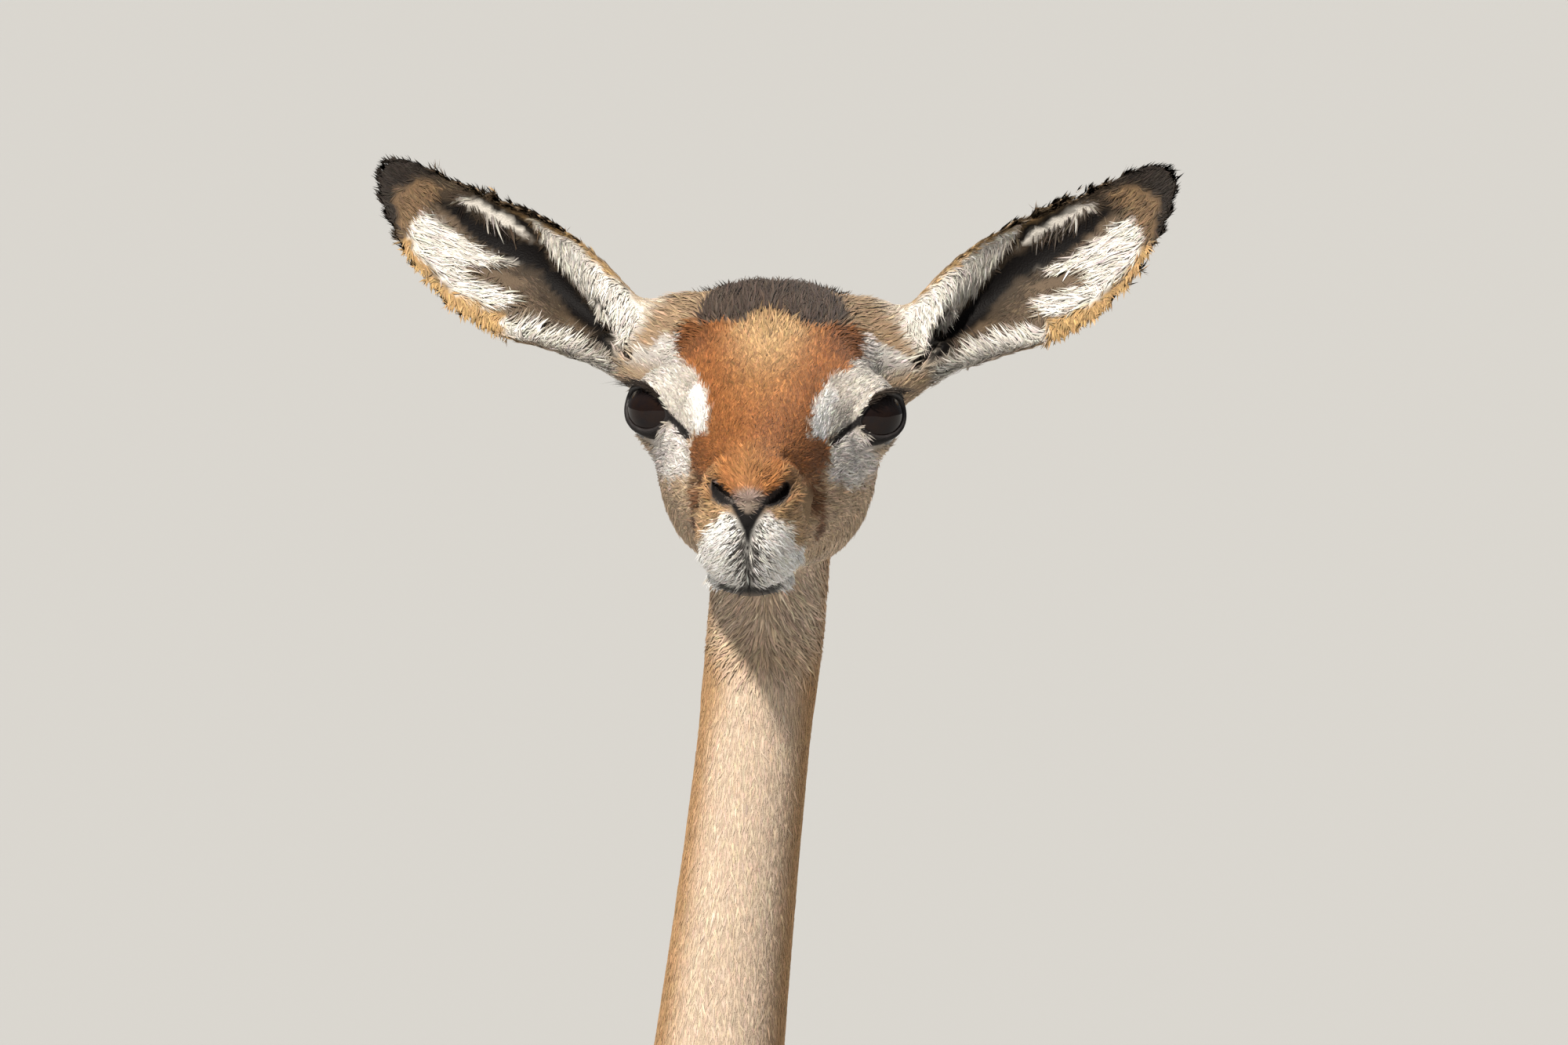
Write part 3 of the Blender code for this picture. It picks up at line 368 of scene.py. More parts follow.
@dataclass(frozen=True)
class EarAxes:
    """Where an ear stands and how it is turned, with the sizes of the solids."""

    side: int
    root: tuple[float, float, float] = (5.24, 2.2, -5.4)
    axis: tuple[float, float, float] = (10.5, 7.6, -3.4)
    lean: tuple[float, float] = (-0.35, 0.25)
    length: float = 13.4

    def frame(self) -> tuple[Array, Array, Array, Array]:
        """The root and the axes of the ear: along it, across to its lower edge, and facing."""
        reach, rise, toward = self.axis
        along = unit(HEAD.tilted(reach + self.side * self.lean[0], rise + self.side * self.lean[1], toward))
        facing = HEAD.tilted(0.05, 0.0, 1.0)
        facing = unit(facing - along * (facing @ along))
        across = unit(np.cross(facing, along))
        across = -across if across[2] > 0 else across
        mirror = np.array((self.side, 1.0, 1.0))
        return HEAD.tilted(*self.root) * mirror, along * mirror, across * mirror, facing * mirror

    def local(self, places: Array) -> Array:
        """Places on the head in the ear's axes: share of its length, across and out of its face."""
        root, along, across, facing = self.frame()
        away = places - root
        return np.stack([away @ along / self.length, away @ across, away @ facing], 1)

    def flat(self, outline: Outline) -> Outline:
        """An outline measured in the front view of the right ear, laid on the plane of this ear."""
        root, along, across, facing = EarAxes(-1).frame()
        out = HEAD.from_front(0.0, 0.0, 1.0)
        made = []
        for sideways, up in outline:
            place = HEAD.from_front(sideways, up, 0.0)
            place = place - out * ((place - root) @ facing) / (out @ facing)
            away = place - root
            made.append((float(away @ along) / self.length, float(away @ across)))
        return tuple(made)


EARS = {1: EarAxes(1), -1: EarAxes(-1)}


# The skin

HEAD_NODES = ("head", "ear_left", "ear_right", "neck_upper")
LEG_NODES = tuple(
    f"{part}_{side}" for part in ("forearm", "fore_cannon", "thigh", "hind_cannon") for side in ("left", "right")
)
BODY_NODES = ("neck_upper", "neck_lower", "chest", "belly", "rump", *LEG_NODES, "tail")
EYE_RADIUS = 1.5
EYE_PLACE = (3.92, 0.0, 0.1)
EYE_TURN_DEG = 60.0
LID_TILT = 0.42
LID_MIDDLE_DEG = (8.0, 19.0)
LID_CORNERS_DEG: Outline = (
    (60.0, 30.0), (52.0, 39.0), (38.0, 46.0), (20.0, 50.0), (2.0, 50.0), (-14.0, 45.0), (-28.0, 31.0), (-40.0, 14.0),
    (-44.0, 6.0), (-38.0, -3.0), (-20.0, -10.0), (0.0, -12.0), (18.0, -9.0), (34.0, -4.0), (47.0, 6.0), (56.0, 19.0),
)


def eye_axes(side: int) -> tuple[Array, Array, Array, Array]:
    """The middle of an eye, its gaze, the run of its lids towards the nose and the way up across them."""
    turn = math.radians(EYE_TURN_DEG)
    gaze = np.array([side * math.sin(turn), math.cos(turn), 0.0])
    slit = unit(np.array([-side * math.cos(turn), math.sin(turn), -LID_TILT]))
    return np.array(EYE_PLACE) * (side, 1, 1), gaze, slit, np.cross(gaze, slit) * side


def lid_reach(turns: Array) -> Array:
    """How far the opening of the lids reaches from its middle, in degrees on the eyeball.

    Args:
        turns: directions in radians, 0 towards the nose and a quarter turn upwards.

    Returns:
        The reach in each direction.
    """
    corners = np.array(LID_CORNERS_DEG) - LID_MIDDLE_DEG
    angles = np.arctan2(corners[:, 1], corners[:, 0])
    order = np.argsort(angles)
    steps = np.linspace(-math.pi, math.pi, 181)[:-1]
    reach = np.interp(steps, angles[order], np.hypot(*corners[order].T), period=2 * math.pi)
    for _ in range(6):
        reach = (np.roll(reach, 1) + 2 * reach + np.roll(reach, -1)) / 4
    return np.interp(turns, steps, reach, period=2 * math.pi)


def lid_spread(places: Array, side: int) -> tuple[Array, Array, Array, Array]:
    """Where places on the head lie round an eye.

    Args:
        places: places on the head.
        side: 1 for the left eye and -1 for the right one.

    Returns:
        The spread, 1 at the rim of the lids, the angle up across them, the distance from the eye's middle and how
        squarely the place lies in front of the eye.
    """
    middle, gaze, slit, lift = eye_axes(side)
    away = places - middle
    distance = np.linalg.norm(away, axis=1)
    away = unit(away)
    across = np.degrees(np.arctan2(away @ slit, away @ gaze))
    up = np.degrees(np.arcsin(np.clip(away @ lift, -1, 1)))
    wide, high = across - LID_MIDDLE_DEG[0], up - LID_MIDDLE_DEG[1]
    spread = np.hypot(wide, high) / lid_reach(np.arctan2(high, wide))
    return spread, up, distance, away @ gaze


def on_lid(side: int, turn: float, share: float) -> Array:
    """A direction from the middle of an eye to its lids.

    Args:
        side: 1 for the left eye and -1 for the right one.
        turn: where round the opening, in radians, 0 towards the nose and a quarter turn upwards.
        share: 1 at the rim, more outside it.

    Returns:
        The direction in the head's axes.
    """
    _, gaze, slit, lift = eye_axes(side)
    reach = float(lid_reach(np.array([turn]))[0]) * share
    wide = math.radians(LID_MIDDLE_DEG[0] + reach * math.cos(turn))
    high = math.radians(LID_MIDDLE_DEG[1] + reach * math.sin(turn))
    return (gaze * math.cos(wide) + slit * math.sin(wide)) * math.cos(high) + lift * math.sin(high)


@dataclass(frozen=True)
class Fold:
    """A groove (+ depth) or ridge (-) on both sides of the face, as a path in its front view."""

    path: tuple[tuple[float, float], ...]
    width: float
    depth: float
    behind: float = 6.5


FOLDS = (
    Fold(((0.0, -4.2), (0.0, -6.6)), 0.13, 0.09),
    Fold(((0.0, -6.62), (0.6, -6.6), (1.15, -6.45), (1.6, -6.1), (2.0, -5.6), (2.2, -5.1)), 0.20, 0.20),
    Fold(((1.0, -1.75), (1.5, -2.05), (1.72, -2.55), (1.6, -3.1), (1.25, -3.45)), 0.26, -0.10),
    Fold(((1.25, -1.5), (1.65, -1.75), (1.95, -2.3), (2.1, -2.85)), 0.22, 0.13),
    Fold(((2.1, -2.8), (2.22, -3.3), (2.3, -3.9), (2.45, -4.45)), 0.50, 0.42),
    Fold(((2.45, -4.3), (2.15, -4.8), (1.95, -5.1)), 0.28, 0.18),
    Fold(((0.0, -3.5), (0.0, -4.3)), 0.30, -0.08),
)
TEAR_LINE = ((3.85, -0.04), (3.5, -0.35), (3.1, -0.65), (2.86, -0.95))


@dataclass
class Skin:
    """One skin over all the flesh, finest on the head."""

    head_voxel: float = 0.0021
    body_voxel: float = 0.0060
    closing: float = 0.00035
    join_height: float = 1.2
    join_gap: float = 0.004
    lid_thick: float = 0.17
    socket_radius: float = 1.22
    chin_lift: float = 0.28
    core_columns: int = 14

    def joined(self, nodes: tuple[str, ...], voxel: float, extra: list[bpy.types.Mesh]) -> bpy.types.Mesh:
        """The solids of several nodes as one closed surface.

        Args:
            nodes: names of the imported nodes.
            voxel: the grain of the new surface, in metres.
            extra: closed meshes that are joined with them, and then removed.

        Returns:
            The outer surface of them all.
        """
        shape = bmesh.new()
        for name in nodes:
            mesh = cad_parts[name].data.copy()
            part = bmesh.new()
            part.from_mesh(mesh)
            bmesh.ops.remove_doubles(part, verts=part.verts, dist=1e-6)
            part.to_mesh(mesh)
            part.free()
            write_points(mesh, read_points(mesh) + self.closing * read_normals(mesh))
            shape.from_mesh(mesh)
            bpy.data.meshes.remove(mesh)
        for mesh in extra:
            shape.from_mesh(mesh)
            bpy.data.meshes.remove(mesh)
        return with_modifier(mesh_from(shape, "flesh"), "REMESH", mode="VOXEL", voxel_size=voxel)

    def eye_ball(self, side: int) -> bpy.types.Mesh:
        """A ball that fills an eye socket up to the outside of its lids."""
        shape = bmesh.new()
        radius = (EYE_RADIUS + self.lid_thick) * CM
        bmesh.ops.create_uvsphere(shape, u_segments=32, v_segments=20, radius=radius)
        bmesh.ops.translate(shape, vec=HEAD.world(np.array([eye_axes(side)[0]]))[0], verts=shape.verts)
        return mesh_from(shape, "ball")

    def tail_core(self) -> bpy.types.Mesh:
        """The thin end of the tail, inside its tuft."""
        low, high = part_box("tail")
        tuft_low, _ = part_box("tail_tuft")
        middle = np.array([(low.x + high.x) / 2, high.y - 0.009, 0.0])
        rings = []
        for height, radius in ((low.z + 0.01, 0.0085), (low.z - 0.02, 0.0075), (tuft_low.z + 0.03, 0.004)):
            turn = np.arange(self.core_columns) * 2 * math.pi / self.core_columns
            ring = np.stack([np.cos(turn) * radius, np.sin(turn) * radius, np.full_like(turn, height)], 1)
            rings.append(ring + middle)
        return loft("core", np.array(rings)[::-1])

    @staticmethod
    def kept_half(mesh: bpy.types.Mesh, height: float, upward: bool) -> None:
        """Cuts a mesh at a height and keeps the part above or below it, with an open rim."""
        shape = bmesh.new()
        shape.from_mesh(mesh)
        everything = shape.verts[:] + shape.edges[:] + shape.faces[:]
        upright = (0, 0, 1 if upward else -1)
        bmesh.ops.bisect_plane(
            shape, geom=everything, dist=1e-6, plane_co=(0, 0, height), plane_no=upright, clear_inner=True
        )
        shape.to_mesh(mesh)
        shape.free()

    @staticmethod
    def split_finer(mesh: bpy.types.Mesh, chosen: Array) -> None:
        """Splits the faces at the chosen vertices into four, and leaves only triangles and quads."""
        shape = bmesh.new()
        shape.from_mesh(mesh)
        shape.verts.ensure_lookup_table()
        edges = [edge for edge in shape.edges if chosen[edge.verts[0].index] and chosen[edge.verts[1].index]]
        bmesh.ops.subdivide_edges(shape, edges=edges, cuts=1, use_grid_fill=True)
        many = [face for face in shape.faces if len(face.verts) > 4]
        bmesh.ops.triangulate(shape, faces=many)
        shape.to_mesh(mesh)
        shape.free()

    def fine_head(self) -> bpy.types.Mesh:
        """The skin of the head, ears and upper neck with its eyes, nostrils, lips and folds."""
        balls = [self.eye_ball(side) for side in (-1, 1)]
        mesh = self.joined(HEAD_NODES, self.head_voxel, balls)
        self.kept_half(mesh, self.join_height + self.join_gap / 2, True)
        links = Links(mesh)
        local = HEAD.local(read_points(mesh))
        plain = 1.0 - ease(local[:, 1], 0.0, 3.0)
        ears = np.zeros(len(local))
        for axes in EARS.values():
            place = axes.local(local)
            ears = np.maximum(ears, ease(place[:, 0], 0.02, 0.12) * (np.abs(place[:, 1]) < 4.5))
        points = links.smooth(read_points(mesh), 10)
        points = links.smooth(points, 24, 0.9 * plain * (1.0 - ears), keep=False)
        points = links.smooth(points, 5, 1.0 - 0.6 * ears, keep=False)
        write_points(mesh, points)
        write_points(mesh, read_points(mesh) - read_normals(mesh) * self.head_depth(mesh)[:, None])
        local = HEAD.local(read_points(mesh))
        self.split_finer(mesh, self.fine_places(local))
        local = HEAD.local(read_points(mesh))
        self.split_finer(mesh, self.finest_places(local))
        links = Links(mesh)
        write_points(mesh, links.smooth(read_points(mesh), 2, keep=False))
        normals = read_normals(mesh) @ HEAD.turn
        write_points(mesh, HEAD.world(self.sculpted(HEAD.local(read_points(mesh)), normals)))
        write_points(mesh, links.smooth(read_points(mesh), 1, 0.5, keep=False))
        return mesh

    @staticmethod
    def head_depth(mesh: bpy.types.Mesh) -> Array:
        """How deep the skin lies under the coat, in metres, over the head and neck."""
        local = HEAD.local(read_points(mesh))
        crown = near(local, (0.0, -4.5, 3.2), (3.6, 4.6, 3.0))
        lips = near(local, (0.0, 12.0, -2.0), (3.0, 4.0, 3.0))
        return 0.0009 + 0.0016 * crown - 0.0004 * lips

    @staticmethod
    def fine_places(local: Array) -> Array:
        """The places on the head with small forms."""
        chosen = (local[:, 1] > 8.0) & (local[:, 2] > -5.4)
        for side in (-1, 1):
            spread, _, distance, ahead = lid_spread(local, side)
            chosen |= (distance < 2.6) & (ahead > -0.1) & (spread < 2.2)
            place = EARS[side].local(local)
            chosen |= (np.abs(place[:, 0] - 0.09) < 0.12) & (np.abs(place[:, 1]) < 1.6) & (place[:, 2] > 0.2)
        return chosen

    @staticmethod
    def finest_places(local: Array) -> Array:
        """The rims of the lids and the nostrils."""
        chosen = np.zeros(len(local), bool)
        for side in (-1, 1):
            spread, _, distance, ahead = lid_spread(local, side)
            chosen |= (distance < 2.2) & (ahead > 0.0) & (np.abs(spread - 1.0) < 0.3)
        flat = HEAD.face_flat(local)
        chosen |= (flat[:, 0] < 2.0) & (np.abs(flat[:, 1] + 3.2) < 1.1) & (local[:, 1] > 9.5)
        return chosen

    def sculpted(self, local: Array, normals: Array) -> Array:
        """The skin of the head with its small forms.

        Args:
            local: places of the smooth skin on the head.
            normals: its normals there.

        Returns:
            The places with lids, folds, nostrils and lips.
        """
        chin = ease(local[:, 1], 7.5, 10.5) * ease(-local[:, 2], 2.2, 4.6)
        local = local + (chin * self.chin_lift)[:, None] * np.array((0.0, 0.0, 1.0))
        flat = HEAD.face_flat(local)
        for fold in FOLDS:
            press = fold.depth * (1.0 - ease(beside(flat, fold.path), 0.0, fold.width)) * (local[:, 1] > fold.behind)
            local = local - normals * press[:, None]
        tear = 0.10 * (1.0 - ease(beside(flat, TEAR_LINE), 0.0, 0.22)) * (local[:, 1] > -1.0)
        local = local - normals * tear[:, None]
        for side in (-1, 1):
            local = self.with_lids(local, side)
            local = self.with_nostril(local, side)
            local = self.with_ear_slit(local, side)
        return local

    def with_lids(self, local: Array, side: int) -> Array:
        """Lays the skin round an eye on the eyeball as lids, and sinks it inside their opening."""
        middle = eye_axes(side)[0]
        spread, up, distance, ahead = lid_spread(local, side)
        away = unit(local - middle)
        front = ease(ahead, -0.1, 0.3) * (distance < 2.7)
        hold = front * (1.0 - ease(spread, 1.15, 1.6))
        crease = 0.10 * np.exp(-(((spread - 1.45) / 0.12) ** 2)) * front * ease(up, 24.0, 44.0)
        distance = distance + hold * (EYE_RADIUS + self.lid_thick - distance) - crease
        sunk = hold * (1.0 - ease(spread, 0.92, 1.03))
        distance = distance + sunk * (self.socket_radius - distance)
        return middle + away * distance[:, None]

    @staticmethod
    def nostril_spread(local: Array, side: int) -> tuple[Array, Array]:
        """How far places lie round a nostril, 1 at its rim, and how high across it, seen from the front."""
        flat = HEAD.face_flat(local) - (1.09, -2.98)
        turn = math.radians(41.0)
        along = flat[:, 0] * math.cos(turn) + flat[:, 1] * math.sin(turn)
        across = flat[:, 1] * math.cos(turn) - flat[:, 0] * math.sin(turn)
        across = across - 0.16 * (along / 0.6) ** 2 + 0.04
        spread = np.hypot(along / 0.62, across / 0.31)
        return np.where((local[:, 1] > 9.5) & (local[:, 0] * side > 0), spread, 9.0), across

    def with_nostril(self, local: Array, side: int) -> Array:
        """Opens a nostril, with a soft rim that is fuller above."""
        spread, across = self.nostril_spread(local, side)
        rim = np.exp(-(((spread - 1.7) / 0.5) ** 2)) * (0.03 + 0.13 * ease(across, -0.1, 0.4))
        hole = (1.0 - ease(spread, 0.5, 1.1)) * (0.95 - 0.55 * ease(across, -0.05, 0.22))
        return local + (rim - hole)[:, None] * np.array([side * 0.10, 0.99, -0.08])

    @staticmethod
    def with_ear_slit(local: Array, side: int) -> Array:
        """Carries the opening of an ear down to its root."""
        axes = EARS[side]
        facing = axes.frame()[3]
        place = axes.local(local)
        path = ((0.015, 0.34), (0.08, 0.06), (0.15, -0.30), (0.22, -0.55))
        flat = place[:, :2] * (axes.length, 1.0)
        gap = beside(flat, tuple((share * axes.length, across) for share, across in path))
        width = 0.16 + 2.4 * np.clip(place[:, 0], 0.0, 0.2)
        depth = 1.5 * (1.0 - ease(gap / width, 0.35, 1.0)) * (place[:, 2] > -0.4)
        return local - facing * (depth * (1.0 - ease(place[:, 0], 0.16, 0.26)))[:, None]

    def coarse_body(self) -> bpy.types.Mesh:
        """The skin of the lower neck, trunk, legs and tail."""
        mesh = self.joined(BODY_NODES, self.body_voxel, [self.tail_core()])
        self.kept_half(mesh, self.join_height - self.join_gap / 2, False)
        links = Links(mesh)
        points = links.smooth(read_points(mesh), 6)
        trunk = ease(points[:, 2], 0.56, 0.68)
        points = links.smooth(points, 8, 0.8 * trunk, keep=False)
        write_points(mesh, points)
        points = read_points(mesh)
        neck = ease(points[:, 2], 0.98, 1.10)
        leg = 1.0 - ease(points[:, 2], 0.45, 0.66)
        depth = 0.0026 * (1.0 - neck) * (1.0 - leg) + 0.0009 * np.maximum(neck, leg)
        write_points(mesh, points - read_normals(mesh) * depth[:, None])
        return mesh

    @staticmethod
    def even_neck(points: Array) -> Array:
        """Lays the neck on one smooth round form, so that no cut of the solids shows in it.

        Args:
            points: the places of the skin.

        Returns:
            The places with an even neck.
        """
        lowest, highest = 0.96, 1.262
        height = points[:, 2]
        chosen = (height > lowest) & (height < highest + 0.01)
        share = (height - lowest) / (highest - lowest) * 2 - 1
        middle = np.empty((len(points), 2))
        levels = np.linspace(lowest, highest, 9)
        for axis in (0, 1):
            centres = []
            for level in levels:
                ring = points[np.abs(height - level) < 0.012, axis]
                centres.append((ring.max() + ring.min()) / 2)
            middle[:, axis] = np.polyval(np.polyfit(levels, centres, 3), height)
        away = points[:, :2] - middle
        radius, turn = np.linalg.norm(away, axis=1), np.arctan2(away[:, 1], away[:, 0])
        waves = [np.ones_like(turn)] + [wave(k * turn) for k in (1, 2, 3) for wave in (np.cos, np.sin)]
        terms = np.stack([wave * share**power for wave in waves for power in range(5)], 1)
        fitted, *_ = np.linalg.lstsq(terms[chosen], radius[chosen], rcond=None)
        weight = ease(height, lowest + 0.01, lowest + 0.05) * (1.0 - ease(height, highest - 0.03, highest))
        scale = 1.0 + weight * (terms @ fitted / np.maximum(radius, 1e-6) - 1.0)
        made = points.copy()
        made[:, :2] = middle + away * np.where(weight > 0, scale, 1.0)[:, None]
        return made

    def build(self) -> bpy.types.Mesh:
        """Head and body as one closed surface."""
        shape = bmesh.new()
        for mesh in (self.fine_head(), self.coarse_body()):
            shape.from_mesh(mesh)
            bpy.data.meshes.remove(mesh)
        rim = [edge for edge in shape.edges if edge.is_boundary]
        bmesh.ops.bridge_loops(shape, edges=rim)
        bmesh.ops.recalc_face_normals(shape, faces=shape.faces)
        if shape.calc_volume(signed=True) < 0:
            bmesh.ops.reverse_faces(shape, faces=shape.faces)
        mesh = mesh_from(shape, "skin")
        links = Links(mesh)
        points = read_points(mesh)
        seam = 1.0 - ease(np.abs(points[:, 2] - self.join_height), 0.004, 0.02)
        write_points(mesh, self.even_neck(links.smooth(points, 12, seam)))
        mesh.shade_smooth()
        return mesh


# Markings: outlines on the face as pairs across and up in its front view, the same on both sides

RUST_PATCH: Outline = (
    (-0.5, 3.75), (1.2, 3.65), (2.4, 3.6), (3.3, 3.55), (3.65, 3.0), (3.55, 2.4), (3.1, 1.85), (2.5, 1.3),
    (2.1, 0.7), (1.97, -0.1), (1.97, -0.75), (2.64, -0.95), (2.6, -1.6), (2.45, -2.4), (2.1, -3.2), (-0.5, -3.2),
)
CROWN_PATCH: Outline = (
    (-0.5, 3.65), (1.6, 3.6), (2.9, 3.6), (2.85, 4.0), (2.55, 4.5), (2.0, 4.95), (1.6, 5.3), (1.5, 9.0), (-0.5, 9.0),
)
GOLD_WEDGE: Outline = ((-0.5, 2.9), (1.4, 3.1), (1.25, 3.45), (0.85, 3.75), (0.45, 4.0), (0.0, 4.15), (-0.5, 4.15))
BROW_PATCH: Outline = (
    (3.5, 3.15), (3.8, 3.2), (4.25, 2.95), (4.7, 2.6), (5.3, 2.4), (6.0, 2.0), (6.0, 0.6), (5.2, 0.1), (3.9, -0.2),
    (2.9, -0.65), (2.4, -1.0), (2.0, -0.75), (1.97, -0.1), (2.1, 0.7), (2.45, 1.3), (3.0, 1.85), (3.45, 2.4),
)
BROW_BRIGHT: Outline = ((2.0, -0.75), (1.95, 0.0), (2.1, 0.7), (2.45, 1.25), (2.9, 0.9), (2.75, 0.0), (2.5, -0.85))
CHEEK_PATCH: Outline = (
    (4.4, -1.1), (3.9, -0.5), (3.5, -0.4), (3.1, -0.75), (2.75, -1.2), (2.65, -1.8), (2.7, -2.4), (3.4, -2.75),
    (3.95, -2.6), (4.3, -2.0),
)
LIP_PATCH: Outline = (
    (-0.5, -4.2), (0.4, -3.9), (0.9, -3.7), (1.3, -3.95), (1.5, -4.4), (1.8, -4.9), (2.4, -5.15), (2.4, -6.0),
    (1.5, -6.6), (0.9, -7.0), (-0.5, -7.3),
)
NOSE_PAD: Outline = (
    (-0.3, -3.75), (0.1, -3.68), (0.56, -3.2), (0.68, -3.4), (0.42, -3.85), (0.2, -4.3), (0.06, -4.85), (-0.3, -4.85),
)
MOUTH_GAPE: Outline = ((-0.3, -6.6), (0.6, -6.62), (1.25, -6.42), (1.1, -6.8), (0.6, -7.08), (-0.3, -7.15))
# Paths of painted shade: a thin crease and a broad fold beside the muzzle.
CHEEK_CREASE = ((2.2, -2.5), (2.36, -3.0), (2.42, -3.7), (2.42, -4.2), (2.3, -4.6))
CHEEK_FOLD = ((1.9, -2.2), (2.15, -2.9), (2.22, -3.8), (2.4, -4.5))


@dataclass(frozen=True)
class EarPatch:
    """A patch on the inner face of an ear: its outline in the front view of the right ear, and its hair."""

    hue: Hue
    outline: Outline
    run: tuple[float, float]
    length: float
    lift: float = 0.25
    soft: float = 0.12


EAR_PATCHES = (
    EarPatch(
        Hue.EAR_FUZZ,
        ((-15.3, 9.1), (-14.1, 9.8), (-13.1, 9.4), (-14.0, 8.8), (-14.5, 7.7), (-15.0, 7.1)),
        (-0.7, 0.1), 0.5,
    ),
    EarPatch(Hue.EAR_BARE, ((-14.3, 8.6), (-13.5, 8.6), (-11.7, 7.0), (-13.1, 7.7)), (-1.0, 0.0), 0.0),
    EarPatch(
        Hue.EAR_WHITE,
        ((-14.5, 8.0), (-14.2, 8.4), (-12.9, 7.6), (-11.7, 6.7), (-10.4, 6.3), (-12.3, 6.2), (-12.6, 5.5), (-13.2, 5.3),
         (-14.2, 6.2), (-14.7, 7.2)),
        (-0.97, -0.2), 0.75, 0.3,
    ),
    EarPatch(
        Hue.EAR_WHITE, ((-13.4, 5.6), (-12.0, 5.4), (-10.3, 4.8), (-10.8, 4.2), (-12.5, 4.4)), (-0.9, -0.45), 0.7, 0.3
    ),
    EarPatch(
        Hue.EAR_GOLD,
        ((-14.8, 7.2), (-13.9, 5.8), (-12.9, 4.8), (-10.8, 4.0), (-10.3, 2.8), (-12.3, 3.2), (-14.4, 4.8),
         (-15.4, 6.6)),
        (-0.4, 0.6), 0.35,
    ),
    EarPatch(
        Hue.EAR_WHITE,
        ((-10.8, 3.8), (-9.6, 3.6), (-7.7, 3.1), (-5.9, 1.9), (-5.9, 1.2), (-7.3, 1.9), (-9.4, 2.6), (-10.8, 3.1)),
        (-0.3, -0.95), 0.7, 0.4,
    ),
    EarPatch(
        Hue.EAR_BARE,
        ((-12.6, 6.0), (-11.8, 6.2), (-10.9, 5.95), (-10.0, 5.6), (-10.1, 5.15), (-11.3, 5.35), (-12.2, 5.6)),
        (-1.0, 0.0), 0.0,
    ),
    EarPatch(
        Hue.EAR_WHITE,
        ((-12.7, 9.0), (-11.8, 9.0), (-10.2, 8.1), (-9.7, 7.4), (-10.8, 7.9), (-12.4, 8.7)),
        (-0.75, 0.6), 1.0, 0.3,
    ),
    EarPatch(
        Hue.EAR_WHITE,
        ((-9.8, 8.4), (-8.0, 7.4), (-5.9, 5.6), (-4.6, 4.4), (-4.4, 3.3), (-5.2, 1.9), (-6.2, 3.3), (-7.2, 4.7),
         (-8.2, 6.0), (-9.1, 7.2)),
        (-0.45, 0.85), 0.6, 0.28,
    ),
)
EAR_SLIT: Outline = (
    (-13.5, 9.0), (-12.5, 8.6), (-10.8, 7.6), (-9.4, 7.0), (-8.5, 5.9), (-7.3, 4.5), (-6.2, 3.1), (-5.6, 2.0),
    (-7.0, 3.0), (-8.3, 4.3), (-9.6, 6.0), (-10.8, 6.5), (-12.5, 7.6),
)
EAR_UPPER_SLIT: Outline = ((-11.8, 9.0), (-9.8, 8.2), (-9.2, 7.0), (-10.0, 7.9))
EAR_TIP_MARGIN: Outline = (
    (-16.5, 9.1), (-15.8, 10.8), (-14.3, 11.0), (-13.0, 9.7), (-14.2, 9.8), (-15.2, 9.1), (-15.0, 6.9), (-16.2, 8.0),
)


